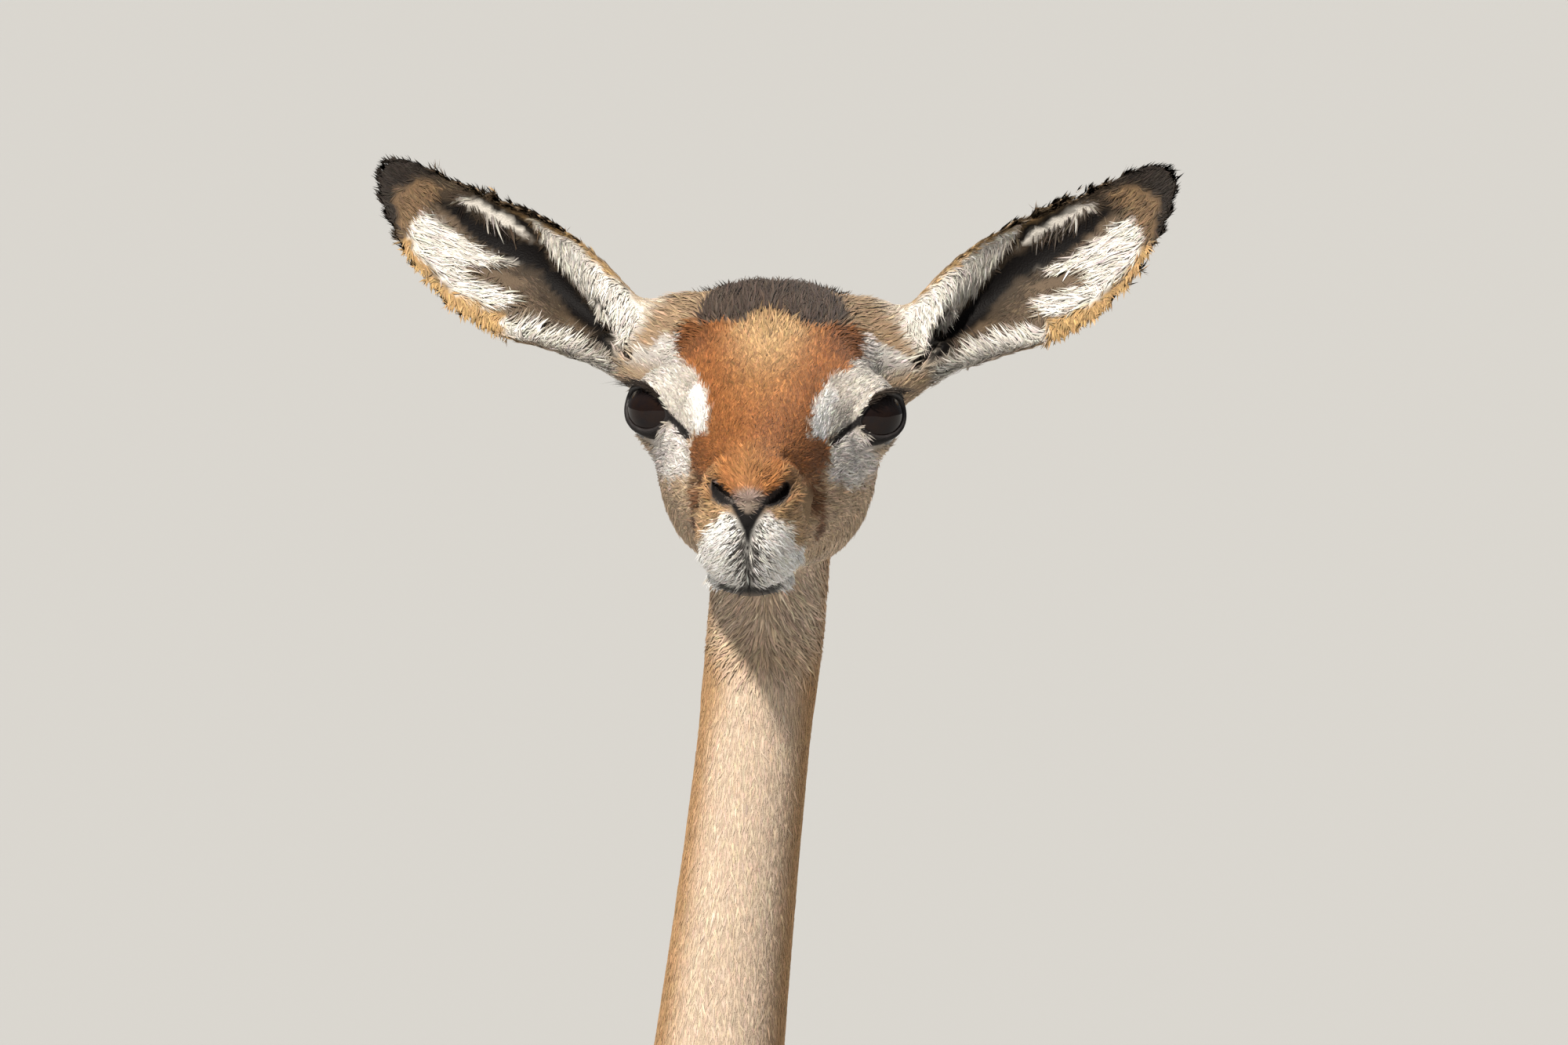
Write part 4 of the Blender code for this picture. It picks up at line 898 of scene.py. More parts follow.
class Coat:
    """What grows on each vertex of the skin: its colour and how its hair lies."""

    trunk_middle: float = -0.045
    chest_front: float = -0.262
    neck_cut: tuple[float, float] = (0.085, 1.285)
    neck_cut_normal: tuple[float, float, float] = (0.08, -0.2, 0.98)
    ear_patch_scale: tuple[float, float] = (0.97, 0.9)

    def __init__(self, points: Array, normals: Array) -> None:
        """Lays out colours, lengths and the lie of the hair.

        Args:
            points: places on the skin.
            normals: its normals there.
        """
        self.points = points
        self.normals = normals
        self.head = HEAD.local(self.points)
        self.flat = HEAD.face_flat(self.head)
        self.side = np.sign(self.head[:, 0])
        self.head_normals = self.normals @ HEAD.turn
        self.body = (self.points - (self.trunk_middle, self.chest_front, 0.0)) / CM
        count = len(self.points)
        self.colour = np.tile(Hue.FLANK.value, (count, 1)).astype(float)
        self.length = np.full(count, 1.2)
        self.width = np.full(count, 0.16)
        self.lift = np.full(count, 0.16)
        self.thick = np.ones(count)
        self.under = np.full(count, 0.8)
        self.wet = np.zeros(count)
        self.fleck = np.zeros(count)
        self.lie = np.tile((0.0, 1.0, -0.3), (count, 1)).astype(float)
        self.masks = self.part_masks()
        self.comb_body()
        self.paint_body()
        self.comb_head()
        self.paint_face()
        self.dress_ears()
        self.hair_tone = self.bare_places()
        self.lie = along_surface(self.lie, self.normals)

    def part_masks(self) -> dict[str, Array]:
        """The share of each main part at every vertex."""
        z = self.points[:, 2]
        plane = np.array((0.0, HEAD.origin[1] + self.neck_cut[0], self.neck_cut[1]))
        below = -(self.points - plane) @ unit(np.array(self.neck_cut_normal))
        neck = ease(below, -0.012, 0.02)
        ears = {}
        for side, axes in EARS.items():
            place = axes.local(self.head)
            close = (np.abs(place[:, 1]) < 4.4) & (np.abs(place[:, 2]) < 3.6) & (self.head[:, 1] < 1.5)
            ears[side] = ease(place[:, 0], 0.0, 0.09) * close
        ear = np.maximum(ears[1], ears[-1])
        return {
            "head": (1.0 - neck) * (1.0 - ear),
            "neck": neck * ease(z, 0.90, 0.97),
            "trunk": neck * (1.0 - ease(z, 0.90, 0.97)) * ease(z, 0.60, 0.68),
            "legs": neck * (1.0 - ease(z, 0.60, 0.68)),
            "ear": ear,
            "ear_left": ears[1],
            "ear_right": ears[-1],
        }

    def over(self, mask: Array, hue: Hue | tuple[float, ...], share: float = 1.0) -> None:
        """Lays a colour over the vertices of a mask."""
        tone = np.array(hue.value if isinstance(hue, Hue) else hue)
        self.colour += (mask * share)[:, None] * (tone - self.colour)

    def hair(self, mask: Array, length: float, width: float, lift: float) -> None:
        """Sets the hair over a mask: its length and width in centimetres, and how it stands out."""
        for values, value in ((self.length, length), (self.width, width), (self.lift, lift)):
            values += mask * (value - values)

    def comb(self, mask: Array, direction: Array | tuple[float, ...]) -> None:
        """Lays the hair over a mask in a direction of the model."""
        self.lie += mask[:, None] * (np.asarray(direction) - self.lie)

    def comb_on_head(self, mask: Array, across: float, forward: float, up: float) -> None:
        """Lays the hair over a mask in a direction of the head, outwards on both sides."""
        flat = np.stack([self.side * across, np.full_like(mask, forward), np.full_like(mask, up)], 1)
        self.comb(mask, flat @ HEAD.turn.T)

    def comb_body(self) -> None:
        """The lie and length of the hair on neck, trunk, legs and tail."""
        masks, body = self.masks, self.body
        for part, way, hair in (
            ("trunk", (0.0, 1.0, -0.45), (1.7, 0.16, 0.07)),
            ("neck", (0.0, 0.25, -1.0), (0.7, 0.062, 0.05)),
            ("legs", (0.0, 0.15, -1.0), (0.9, 0.12, 0.08)),
        ):
            self.hair(masks[part], *hair)
            self.comb(masks[part], way)
        fine = 1.0 - ease(body[:, 2], 30.0, 52.0)
        self.hair(fine, 0.6, 0.09, 0.07)
        tail = ease(body[:, 1], 72.5, 74.0) * (body[:, 2] > 55.0)
        self.hair(tail, 1.4, 0.12, 0.12)
        self.comb(tail, (0.0, 0.0, -1.0))

    def paint_body(self) -> None:
        """The markings of neck, trunk, legs and tail."""
        masks, body, normals = self.masks, self.body, self.normals
        wobble = ripple(body, 9.0, 3)
        x, y, z = body.T
        edge = 83.4 + 1.2 * wobble - 1.4 * np.cos((y - 34.0) / 14.0)
        saddle = masks["trunk"] * ease(z, edge - 1.2, edge + 1.2)
        self.over(saddle, Hue.SADDLE, 0.92)
        under = ease(-normals[:, 2], 0.2, 0.65) * ease(y, -1.0, 6.0) * (1.0 - ease(y, 60.0, 68.0))
        low = (1.0 - ease(z + 0.6 * wobble, 69.0, 71.0)) * ease(y, 13.0, 17.0) * (1.0 - ease(y, 50.0, 55.0))
        inward = ease(-normals[:, 0] * np.sign(x), 0.1, 0.6) * (1.0 - ease(z, 68.0, 74.0))
        belly = masks["trunk"] * np.maximum(np.maximum(under, low), inward)
        self.over(belly, Hue.WHITE, 0.9)
        brisket = masks["trunk"] * near(body, (0.0, 0.0, 74.0), (6.0, 8.0, 14.0))
        self.over(ease(brisket, 0.1, 0.7), Hue.NECK_CREAM, 0.8)
        rump = near(body, (0.0, 73.0, 76.0), (6.5, 7.0, 13.0))
        self.over(ease(rump, 0.15, 0.5) * (1.0 - ease(z, 83.0, 85.5)), Hue.WHITE, 0.95)
        inner = masks["legs"] * ease(-normals[:, 0] * np.sign(x), 0.1, 0.7) * ease(z, 36.0, 48.0)
        self.over(inner, Hue.WHITE, 0.85)
        shank = masks["legs"] * (1.0 - ease(z, 30.0, 50.0))
        self.over(shank, Hue.CHEEK_TAN, 0.6)
        front = masks["legs"] * ease(-normals[:, 1], 0.2, 0.8) * (1.0 - ease(z, 20.0, 34.0))
        self.over(front, Hue.CREAM, 0.35)
        knee = near(body, (5.5, 10.5, 36.5), (3.0, 3.6, 4.5)) + near(body, (-5.5, 14.0, 36.5), (3.0, 3.6, 4.5))
        self.over(ease(knee, 0.1, 0.5), Hue.CROWN, 0.85)
        coronet = masks["legs"] * (1.0 - ease(z, 3.6, 5.5))
        self.over(coronet, Hue.CROWN, 0.7)
        front_neck = ease(-normals[:, 1] - 0.25 * np.abs(normals[:, 0]), 0.05, 0.75)
        self.over(masks["neck"], Hue.NECK_TAN, 1.0)
        self.over(masks["neck"] * front_neck, Hue.NECK_CREAM, 0.95)
        nape = masks["neck"] * ease(normals[:, 1], 0.2, 0.9)
        self.over(nape, Hue.SADDLE, 0.55)
        tail = ease(y, 72.8, 73.8) * (z > 50.0)
        self.over(tail, Hue.NECK_TAN, 0.9)
        self.over(tail * (1.0 - ease(z, 70.0, 74.0)), Hue.TUFT_BLACK, 0.95)

    def comb_head(self) -> None:
        """The lie and length of the hair on the head."""
        head, masks = self.head, self.masks["head"]
        mirrored = head * (self.side[:, None] * (1, 0, 0) + (0, 1, 1))
        raised = ease(head[:, 2], 0.5, 1.6)
        top = masks * ease(head[:, 2] - 0.05 * head[:, 1], 0.6, 1.6)
        bridge = masks * ease(head[:, 1], 2.0, 6.0) * ease(head[:, 2], 0.2, 1.2)
        jaw = masks * ease(-head[:, 2] - 0.12 * head[:, 1], 2.0, 4.2)
        brow = masks * inside(self.flat, BROW_PATCH, 0.35) * (head[:, 1] > -6.0)
        temple = masks * near(mirrored, (4.2, -4.5, 2.4), (2.6, 4.0, 2.8))
        crown = masks * inside(self.flat, CROWN_PATCH, 0.4) * (head[:, 1] < 2.0) * raised
        wedge = masks * inside(self.flat, GOLD_WEDGE, 0.3) * (head[:, 1] < 3.0) * raised
        lips = masks * inside(self.flat, LIP_PATCH, 0.3) * (head[:, 1] > 8.5)
        nose = masks * near(head, (0.0, 12.4, 0.2), (2.2, 1.6, 1.5))
        chin = masks * near(head, (0.0, 10.6, -4.5), (2.0, 2.4, 1.3))
        for mask, way, hair in (
            (masks, (0.25, -1.0, -0.25), (0.8, 0.066, 0.2)),
            (top, (0.10, -1.0, 0.45), (0.6, 0.062, 0.15)),
            (bridge, None, (0.5, 0.058, 0.15)),
            (jaw, (0.15, -0.8, -0.9), (0.75, 0.07, 0.18)),
            (brow, (0.85, -0.7, 0.55), (0.55, 0.06, 0.16)),
            (ease(temple, 0.0, 0.3), (1.0, -0.5, 0.35), (0.75, 0.064, 0.18)),
            (crown, (0.12, -0.7, 1.0), (0.9, 0.062, 0.42)),
            (wedge, None, (0.8, 0.058, 0.3)),
            (lips, (0.75, -0.35, -0.75), (0.5, 0.05, 0.3)),
            (ease(nose, 0.0, 0.5), None, (0.28, 0.055, 0.12)),
            (ease(chin, 0.1, 0.5), (0.1, 0.25, -1.0), (0.7, 0.045, 0.45)),
        ):
            self.hair(mask, *hair)
            if way:
                self.comb_on_head(mask, *way)

    def paint_face(self) -> None:
        """The markings of the head, with painted shade in its folds, cheek hollow and nostrils, and painted light on
        the lips.
        """
        head, masks = self.head, self.masks["head"]
        flat = self.flat + 0.10 * np.stack([ripple(head, 0.9, 5), ripple(head, 0.9, 6)], 1)
        over_top = ease(head[:, 1], -6.6, -5.4) * ease(head[:, 2], 0.0, 0.8)
        ahead = np.maximum(ease(head[:, 1], -3.0, -1.5), over_top) * masks
        front = ease(head[:, 1], 7.5, 8.8) * masks
        x, forward, up = head.T
        self.over(masks, Hue.TEMPLE_TAN)
        cheeks = masks * (1.0 - ease(up + 0.04 * forward, -0.6, 0.8))
        self.over(cheeks, Hue.CHEEK_TAN, 0.85)
        self.over(masks * ease(-up - 0.12 * forward, 4.0, 5.6) * ease(forward, -1.0, 4.0), Hue.CREAM, 0.8)
        self.over(masks * (1.0 - ease(forward, -5.0, -1.0)) * ease(-up, 1.0, 3.5), Hue.NECK_TAN, 0.9)
        nape = masks * (1.0 - ease(forward + 0.35 * up, -8.6, -6.2))
        self.over(nape, Hue.NECK_TAN, 0.9)
        throat = masks * (1.0 - ease(forward + 0.2 * up, -4.5, -1.5)) * ease(-up, 2.5, 5.0)
        throat = throat * ease(self.head_normals[:, 1], -0.1, 0.5)
        self.over(throat * (1.0 - ease(np.abs(x), 1.6, 3.6)), Hue.NECK_CREAM, 0.9)
        muzzle_side = masks * ease(forward, 4.5, 8.0) * (1.0 - ease(self.flat[:, 1], -1.6, -0.8))
        self.over(muzzle_side, Hue.MUZZLE_TAN, 0.75)
        # Painted shade on the side wall of the muzzle.
        self.over(masks * near(np.abs(head), (2.5, 9.0, 1.9), (1.2, 3.6, 1.3)) * (up < 0), Hue.CHEEK_PAINTED_SHADE, 0.75)
        # Painted shade in the hollow of the cheek below the eye.
        hollow = ease(near(np.abs(head), (4.4, 3.5, 1.8), (1.8, 3.4, 1.6)), 0.1, 0.6)
        self.over(hollow * (up < -0.5) * masks, Hue.CHEEK_PAINTED_SHADE, 0.3)
        # Painted shade: broad along the fold between muzzle and cheek, and a thin dark line in the crease beside it.
        fold = 1.0 - ease(beside(self.flat, CHEEK_FOLD), 0.05, 0.55)
        self.over(fold * front, Hue.CHEEK_PAINTED_SHADE, 0.9)
        crease = 1.0 - ease(beside(self.flat, CHEEK_CREASE), 0.04, 0.24)
        self.over(crease * masks * ease(forward, 2.5, 4.0), Hue.RUST_DARK, 0.9)
        ring = np.zeros_like(masks)
        for side in (-1, 1):
            spread, _, distance, ahead_of_eye = lid_spread(head, side)
            ring = np.maximum(ring, (1.0 - ease(spread, 1.5, 2.6)) * (distance < 3.2) * (ahead_of_eye > -0.3))
        self.over(ring * masks, Hue.BROW, 0.8)
        brow = inside(flat, BROW_PATCH, 0.14) * ahead
        self.over(brow, Hue.BROW)
        self.over(brow * near(self.flat, (2.9, 1.3), (0.9, 1.3)), Hue.BROW_GREY, 0.8)
        self.over(brow * ease(self.flat[:, 1], 1.6, 2.8), Hue.CHEEK_WHITE, 0.7)
        self.over(inside(flat, BROW_BRIGHT, 0.12) * ahead, Hue.WHITE)
        self.over(inside(flat, CHEEK_PATCH, 0.2) * ahead, Hue.CHEEK_WHITE, 0.95)
        top = masks * ease(up - 0.03 * forward, -1.4, -0.4)
        rust = inside(flat, RUST_PATCH, 0.13) * ahead * np.maximum(top, front)
        thin = 0.75 * ease(-self.flat[:, 1], 1.9, 2.9) * ease(np.abs(self.flat[:, 0]), 1.5, 1.9)
        self.over(rust * (1.0 - thin), Hue.RUST)
        corner = near(self.flat, (3.1, 3.0), (1.4, 1.4))
        self.over(rust * ease(corner, 0.0, 0.7), Hue.RUST_DARK, 0.65)
        self.over(rust * near(self.flat, (0.0, 1.6), (2.2, 2.0)), Hue.GOLD, 0.45)
        self.over(rust * near(self.flat, (0.0, 3.1), (2.5, 2.2)), Hue.PALE_GOLD, 1.0)
        self.over(rust * near(self.flat, (0.0, -1.9), (1.6, 1.6)), Hue.NOSE_TAN, 0.6)
        self.over(rust * near(self.flat, (2.3, -1.6), (0.6, 1.3)), Hue.RUST_DARK, 0.45)
        crown = inside(flat, CROWN_PATCH, 0.12) * masks * (forward < 2.5) * (up > 0.3)
        self.over(crown, Hue.CROWN)
        wedge = inside(flat, GOLD_WEDGE, 0.18) * masks * (forward < 3.5) * (up > 0.3)
        self.over(wedge, Hue.PALE_GOLD, 0.95)
        # The lips' white, made brighter as painted light where they lie in shade.
        self.over(inside(flat, LIP_PATCH, 0.16) * front, Hue.LIP_WHITE_WITH_PAINTED_LIGHT)
        lips = front * inside(self.flat, LIP_PATCH, 0.3)
        self.under -= 0.35 * lips
        middle = 1.0 - ease(self.flat[:, 0] - 0.12 * (self.flat[:, 1] + 5.0), 0.1, 1.1)
        self.fleck = np.maximum(self.fleck, front * middle * ease(-self.flat[:, 1], 3.5, 4.2) * 0.75)
        nostrils = front * near(self.flat, (0.0, -3.3), (1.2, 0.9))
        self.over(ease(nostrils, 0.0, 0.6), Hue.LIP_GREY, 0.7)
        self.fleck = np.maximum(self.fleck, 0.7 * front * ease(near(self.flat, (0.0, -4.15), (0.9, 0.8)), 0.1, 0.6))
        for side in (-1, 1):
            spread, across = Skin.nostril_spread(head, side)
            outer = ease(np.abs(head[:, 0]), 0.9, 1.5)
            self.over(front * outer * (1.0 - ease(spread, 1.5, 2.7)), Hue.PALE_GOLD, 0.45)
            # Painted shade in the hollow of the nostril: grey-brown under its upper rim, grey round the inside and
            # black where it is deepest.
            self.over(front * (1.0 - ease(spread, 1.0, 1.7)) * ease(0.25 - across, 0.0, 0.5), Hue.EAR_BARE, 0.7)
            self.over(front * (1.0 - ease(spread, 0.9, 1.15)), Hue.LIP_GREY, 0.8)
            self.over(front * (1.0 - ease(spread + 1.8 * ease(across, -0.02, 0.26), 0.8, 1.25)), Hue.BLACK_SKIN)
        wide = 0.09 + 0.05 * ease(-self.flat[:, 1], 0.2, 0.9)
        tear = (1.0 - ease(beside(self.flat, TEAR_LINE), wide, wide + 0.07)) * (forward > -1.0) * masks
        self.over(tear, Hue.BLACK_SKIN)
        self.thick *= 1.0 - tear

    def dress_ears(self) -> None:
        """Colour and hair of the ears, inside and out, with painted shade in the slit and on the bare face, and painted
        light on the back.
        """
        for side, axes in EARS.items():
            mask = self.masks["ear_left" if side > 0 else "ear_right"]
            _, along, across, facing = axes.frame()
            place = axes.local(self.head)
            turned_out = ease(self.head_normals @ facing, -0.35, 0.0)
            back, face = mask * (1.0 - turned_out), mask * turned_out
            flat = place[:, :2] * (axes.length, 1.0)
            flat = flat + 0.09 * np.stack([ripple(self.head, 0.5, 8), ripple(self.head, 0.5, 9)], 1)
            scale = (self.ear_patch_scale[0] * axes.length, self.ear_patch_scale[1])
            outwards = along @ HEAD.turn.T

            def patch(outline: Outline) -> Array:
                """How deep each place lies in a patch of the ear's face, in centimetres."""
                return depth_in(flat, tuple((a * scale[0], b * scale[1]) for a, b in axes.flat(outline)))

            rim = mask * (1.0 - ease(np.abs(self.head_normals @ facing), 0.3, 0.65)) * ease(place[:, 0], 0.12, 0.25)
            shut = np.maximum(patch(EAR_SLIT), patch(EAR_UPPER_SLIT))
            # The whole ear first takes the colour of its back, made lighter as painted light on hair that lies in
            # shade.
            self.over(mask, Hue.EAR_BACK_WITH_PAINTED_LIGHT)
            self.hair(mask, 0.45, 0.06, 0.03)
            self.comb(mask, outwards)
            # Painted shade on the bare inner face: half as bright next to the slit, rising to its own colour away from
            # it.
            self.over(face, np.array(Hue.EAR_BARE.value) * 0.5)
            self.over(face * ease(-shut, 0.2, 1.6), Hue.EAR_BARE)
            self.hair(face, 0.3, 0.05, 0.12)
            self.over(face * ease(-place[:, 1], 1.2, 1.7), Hue.EAR_GOLD, 0.7)
            self.over(face * (1.0 - ease(place[:, 0], 0.04, 0.16)), Hue.CREAM)
            for spot in EAR_PATCHES:
                share = ease(patch(spot.outline), -spot.soft, spot.soft) * face
                self.over(share, spot.hue)
                self.under += 0.2 * share
                if spot.length:
                    self.hair(share, spot.length, 0.06, spot.lift)
                    self.comb(share, (along * spot.run[0] + across * spot.run[1]) @ HEAD.turn.T)
                else:
                    self.thick *= 1.0 - share
            # Painted shade: the deep slit is near black, and the skin there is darker still.
            self.over(face * ease(shut, -0.12, 0.12), Hue.SLIT_SHADE)
            self.under -= 0.5 * face * ease(shut, -0.1, 0.1)
            self.thick *= 1.0 - face * ease(shut, -0.38, -0.12)
            lower = ease(place[:, 1], -0.5, 0.5) * ease(place[:, 0], 0.25, 0.4)
            self.over(rim, Hue.TEMPLE_TAN, 0.75)
            self.over(rim * lower, Hue.EAR_GOLD, 0.8)
            self.hair(rim, 0.36, 0.045, 0.2)
            self.hair(rim * ease(place[:, 0], 0.78, 0.9), 0.55, 0.05, 0.3)
            self.comb(rim, outwards)
            tip = ease(patch(EAR_TIP_MARGIN), -0.15, 0.25) * mask
            self.over(tip, Hue.EAR_TIP)
            self.hair(tip * (1.0 - rim), 0.4, 0.05, 0.08)
            self.over(back * ease(place[:, 0], 0.9, 1.0), Hue.EAR_TIP, 0.9)
            self.thick *= 1.0 + 6.0 * rim
            behind = back * near(self.head * (side, 1, 1), (5.0, -5.0, 3.6), (2.6, 3.5, 2.4))
            self.over(ease(behind, 0.0, 0.4), Hue.CROWN, 0.85)

    def bare_places(self) -> Array:
        """Bares nose pad, mouth, lids, the inside of the sockets and nostrils.

        Returns:
            The colours that the hair takes, which leave out those of the lids.
        """
        front = self.head[:, 1] > 9.0
        pad = inside(self.flat, NOSE_PAD, 0.08) * front
        gape = inside(self.flat, MOUTH_GAPE, 0.1) * front
        line = (1.0 - ease(self.flat[:, 0], 0.03, 0.07)) * front * (self.flat[:, 1] < -4.2) * (self.flat[:, 1] > -7.0)
        for mask in (pad, gape * 0.9, line):
            self.over(mask, Hue.BLACK_SKIN)
        self.thick *= (1.0 - pad) * (1.0 - line) * (1.0 - gape)
        self.wet = np.maximum(self.wet, np.maximum(pad, 0.5 * gape))
        hair_tone = self.colour.copy()
        for side in (-1, 1):
            spread, up, distance, ahead = lid_spread(self.head, side)
            lids = (distance < 2.3) & (ahead > -0.1)
            low = ease(LID_MIDDLE_DEG[1] - up, 12.0, 32.0)
            bare = 1.07 + 0.45 * low
            self.over(lids * (1.0 - ease(spread, bare, bare + 0.08)), Hue.BLACK_SKIN)
            haired = bare + 0.22 * low
            self.thick *= 1.0 - lids * (1.0 - ease(spread, haired + 0.02, haired + 0.12))
            close = (distance < 3.0) * (ahead > -0.2) * (1.0 - ease(spread, 1.3, 2.6))
            self.length *= 1.0 - 0.5 * close
            hole, _ = Skin.nostril_spread(self.head, side)
            self.thick *= ease(hole, 1.0, 1.25)
        return hair_tone


@dataclass(frozen=True)
class TuftForm:
    """The form of one tuft: a root point under the skin, rings of three points and a tip."""

    rings: int = 1
    widest: float = 0.42
    droop: float = 0.55
    clump: float = 0.28
    clump_size: float = 0.0028
    clump_tone: float = 0.09
    bold: float = 0.2
    root_shade: float = 0.6
    jitter: float = 0.15
    flat: float = 0.25
    round: float = 0.5
    sink: float = 0.0003


@dataclass(frozen=True)
class CoatPiece:
    """A piece of the coat and how many tufts it has."""

    name: str
    count: int
    form: TuftForm = TuftForm()


class Unwrap:
    """A flat layout of the skin's own shape, with a place for every part."""

    patch: float = 0.003

    def places(self, head: Array, body: Array, masks: dict[str, Array]) -> Array:
        """The place of each vertex on the layout.

        Args:
            head: places on the head.
            body: places on the trunk.
            masks: the share of each main part.

        Returns:
            Pairs between 0 and 1.
        """
        names = ("head", "neck", "trunk", "legs", "ear_left", "ear_right")
        part = np.argmax(np.stack([masks[name] for name in names]), 0)
        made = np.zeros((len(head), 2))
        round_head = np.arctan2(head[:, 0], head[:, 2] + 1.5) / (2 * math.pi) + 0.5
        made[part == 0] = (self.cell(0, 0, 2, round_head, (head[:, 1] + 11.0) / 25.0))[part == 0]
        axis_y = np.interp(body[:, 2], (90.0, 105.0, 130.0), (6.0, 1.6, -3.6))
        axis_x = np.interp(body[:, 2], (90.0, 105.0, 130.0), (0.4, 1.95, 4.7))
        round_neck = np.arctan2(body[:, 0] - axis_x, -(body[:, 1] - axis_y)) / (2 * math.pi) + 0.5
        made[part == 1] = self.cell(2, 0, 2, round_neck, (body[:, 2] - 88.0) / 50.0)[part == 1]
        round_trunk = np.arctan2(body[:, 0], body[:, 2] - 79.0) / (2 * math.pi) + 0.5
        made[part == 2] = self.cell(0, 2, 2, round_trunk, (body[:, 1] + 3.0) / 80.0)[part == 2]
        leg = (body[:, 0] > 0) * 1 + (body[:, 1] > 40.0) * 2
        for number in range(4):
            chosen = (part == 3) & (leg == number)
            if chosen.any():
                middle_x, middle_y = np.median(body[chosen, 0]), np.median(body[chosen, 1])
                turn = np.arctan2(body[:, 0] - middle_x, body[:, 1] - middle_y) / (2 * math.pi) + 0.5
                made[chosen] = self.cell(2 + 0.5 * number, 2, 0.5, turn, body[:, 2] / 70.0, 2)[chosen]
        for number, side in ((4, 1), (5, -1)):
            place = EARS[side].local(head)
            turned = np.sign(place[:, 2])
            across = 0.25 + turned * 0.25 + place[:, 1] / 16.0
            chosen = part == number
            made[chosen] = self.cell(1.0 + 2.0 * (side < 0), 1.0, 1, across, place[:, 0], 1)[chosen]
        return made

    @staticmethod
    def cell(column: float, row: float, wide: float, u: Array, v: Array, high: float = 1) -> Array:
        """Pairs laid into a cell of a layout four cells wide and high."""
        return np.stack([(column + np.clip(u, 0, 1) * wide) / 4, (row + np.clip(v, 0, 1) * high) / 4], 1)


class Fur:
    """Sows tufts over the skin and makes them as solid meshes."""

    marked_at: float = 0.45

    def __init__(self, skin: bpy.types.Mesh, coat: Coat, layout: Array) -> None:
        """Keeps the triangles of the skin with what grows on them.

        Args:
            skin: the finished skin.
            coat: what grows on each vertex.
            layout: the place of each vertex on the unwrap.
        """
        self.coat = coat
        self.layout = layout
        self.corners = triangles_of(skin)
        first, second, third = (coat.points[self.corners[:, k]] for k in range(3))
        self.area = np.linalg.norm(np.cross(second - first, third - first), axis=1) / 2

    def sow(self, weight: Array, count: int, draw: np.random.Generator) -> dict[str, Array]:
        """Chooses roots evenly by area and weight.

        Args:
            weight: how densely hair grows at each vertex.
            count: how many roots.
            draw: the seeded draw.

        Returns:
            What grows at each root.
        """
        share = weight[self.corners].mean(1) * self.area
        total = np.cumsum(share)
        picks = (np.arange(count) + draw.random(count)) * total[-1] / count
        faces = np.searchsorted(total, picks).clip(0, len(total) - 1)
        a, b = draw.random(count), draw.random(count)
        over = a + b > 1
        a[over], b[over] = 1 - a[over], 1 - b[over]
        mix = np.stack([1 - a - b, a, b], 1)
        corners = self.corners[faces]
        coat = self.coat
        made = {}
        for name in ("points", "normals", "lie", "colour", "length", "width", "lift"):
            values = getattr(coat, name)[corners]
            mixed = mix[:, :, None] if values.ndim == 3 else mix
            made[name] = (values * mixed).sum(1)
        made["layout"] = self.layout[corners[:, 0]]
        made["normals"] = unit(made["normals"])
        made["lie"] = along_surface(made["lie"], made["normals"])
        return made

    def tufts(self, piece: CoatPiece, weight: Array, finish: bpy.types.Material) -> bpy.types.Object:
        """One piece of the coat.

        Args:
            piece: its name, count and form.
            weight: how densely it grows at each vertex.
            finish: the material.

        Returns:
            The object.
        """
        draw = np.random.default_rng(SEED + sum(map(ord, piece.name)))
        roots = self.sow(weight, piece.count, draw)
        reach = roots["lie"] * (roots["length"] * CM * self.marked_at)[:, None]
        marks = Coat(roots["points"] + reach, roots["normals"])
        dark = draw.random(len(marks.fleck)) < marks.fleck
        roots["colour"] = np.where(dark[:, None], np.array(Hue.LIP_GREY.value) * 0.35, marks.hair_tone)
        roots["width"] = roots["width"] * np.where(dark, 0.6, 1.0)
        return self.grown(piece, roots, draw, finish)

    @staticmethod
    def to_clump(points: Array, size: float, draw: np.random.Generator) -> tuple[Array, Array]:
        """The way from each root to the middle of its clump, and the number of that clump."""
        warped = points + size * 0.6 * np.stack([ripple(points, size * 3, 20 + axis) for axis in range(3)], 1)
        cells = np.floor(warped / size + draw.random(3)).astype(np.int64)
        _, number = np.unique(cells @ np.array((1, 100003, 10000600009)), return_inverse=True)
        number = number.ravel()
        many = np.bincount(number)
        middle = np.stack([np.bincount(number, weights=column) / many for column in points.T], 1)
        return middle[number] - points, number

    def grown(
        self, piece: CoatPiece, roots: dict[str, Array], draw: np.random.Generator, finish: bpy.types.Material
    ) -> bpy.types.Object:
        """Builds tufts on chosen roots.

        Args:
            piece: its name, count and form.
            roots: what grows at each root.
            draw: the seeded draw.
            finish: the material.

        Returns:
            The object.
        """
        form, count = piece.form, len(roots["points"])
        normals, lie = roots["normals"], roots["lie"]
        sideways = np.cross(normals, lie)
        lie = unit(lie + sideways * draw.normal(0, 0.16, (count, 1)))
        sideways = np.cross(normals, lie)
        length = (roots["length"] * CM * draw.uniform(0.7, 1.25, count))[:, None]
        width = (roots["width"] * CM * draw.uniform(0.75, 1.25, count))[:, None]
        lift = (roots["lift"] * draw.uniform(0.6, 1.4, count))[:, None]
        bold = draw.random((count, 1)) < form.bold
        length, width = length * np.where(bold, 1.2, 1.0), width * np.where(bold, 1.5, 1.0)
        bend = draw.normal(0, 0.10, (count, 1))
        gather, number = self.to_clump(roots["points"], form.clump_size, draw)

        def spine(share: float) -> Array:
            """The middle of the tufts at a share of their length."""
            rise = lift * (share - form.droop * share * share)
            run = lie * share + sideways * bend * share * share + normals * rise
            return roots["points"] + length * run + gather * form.clump * share

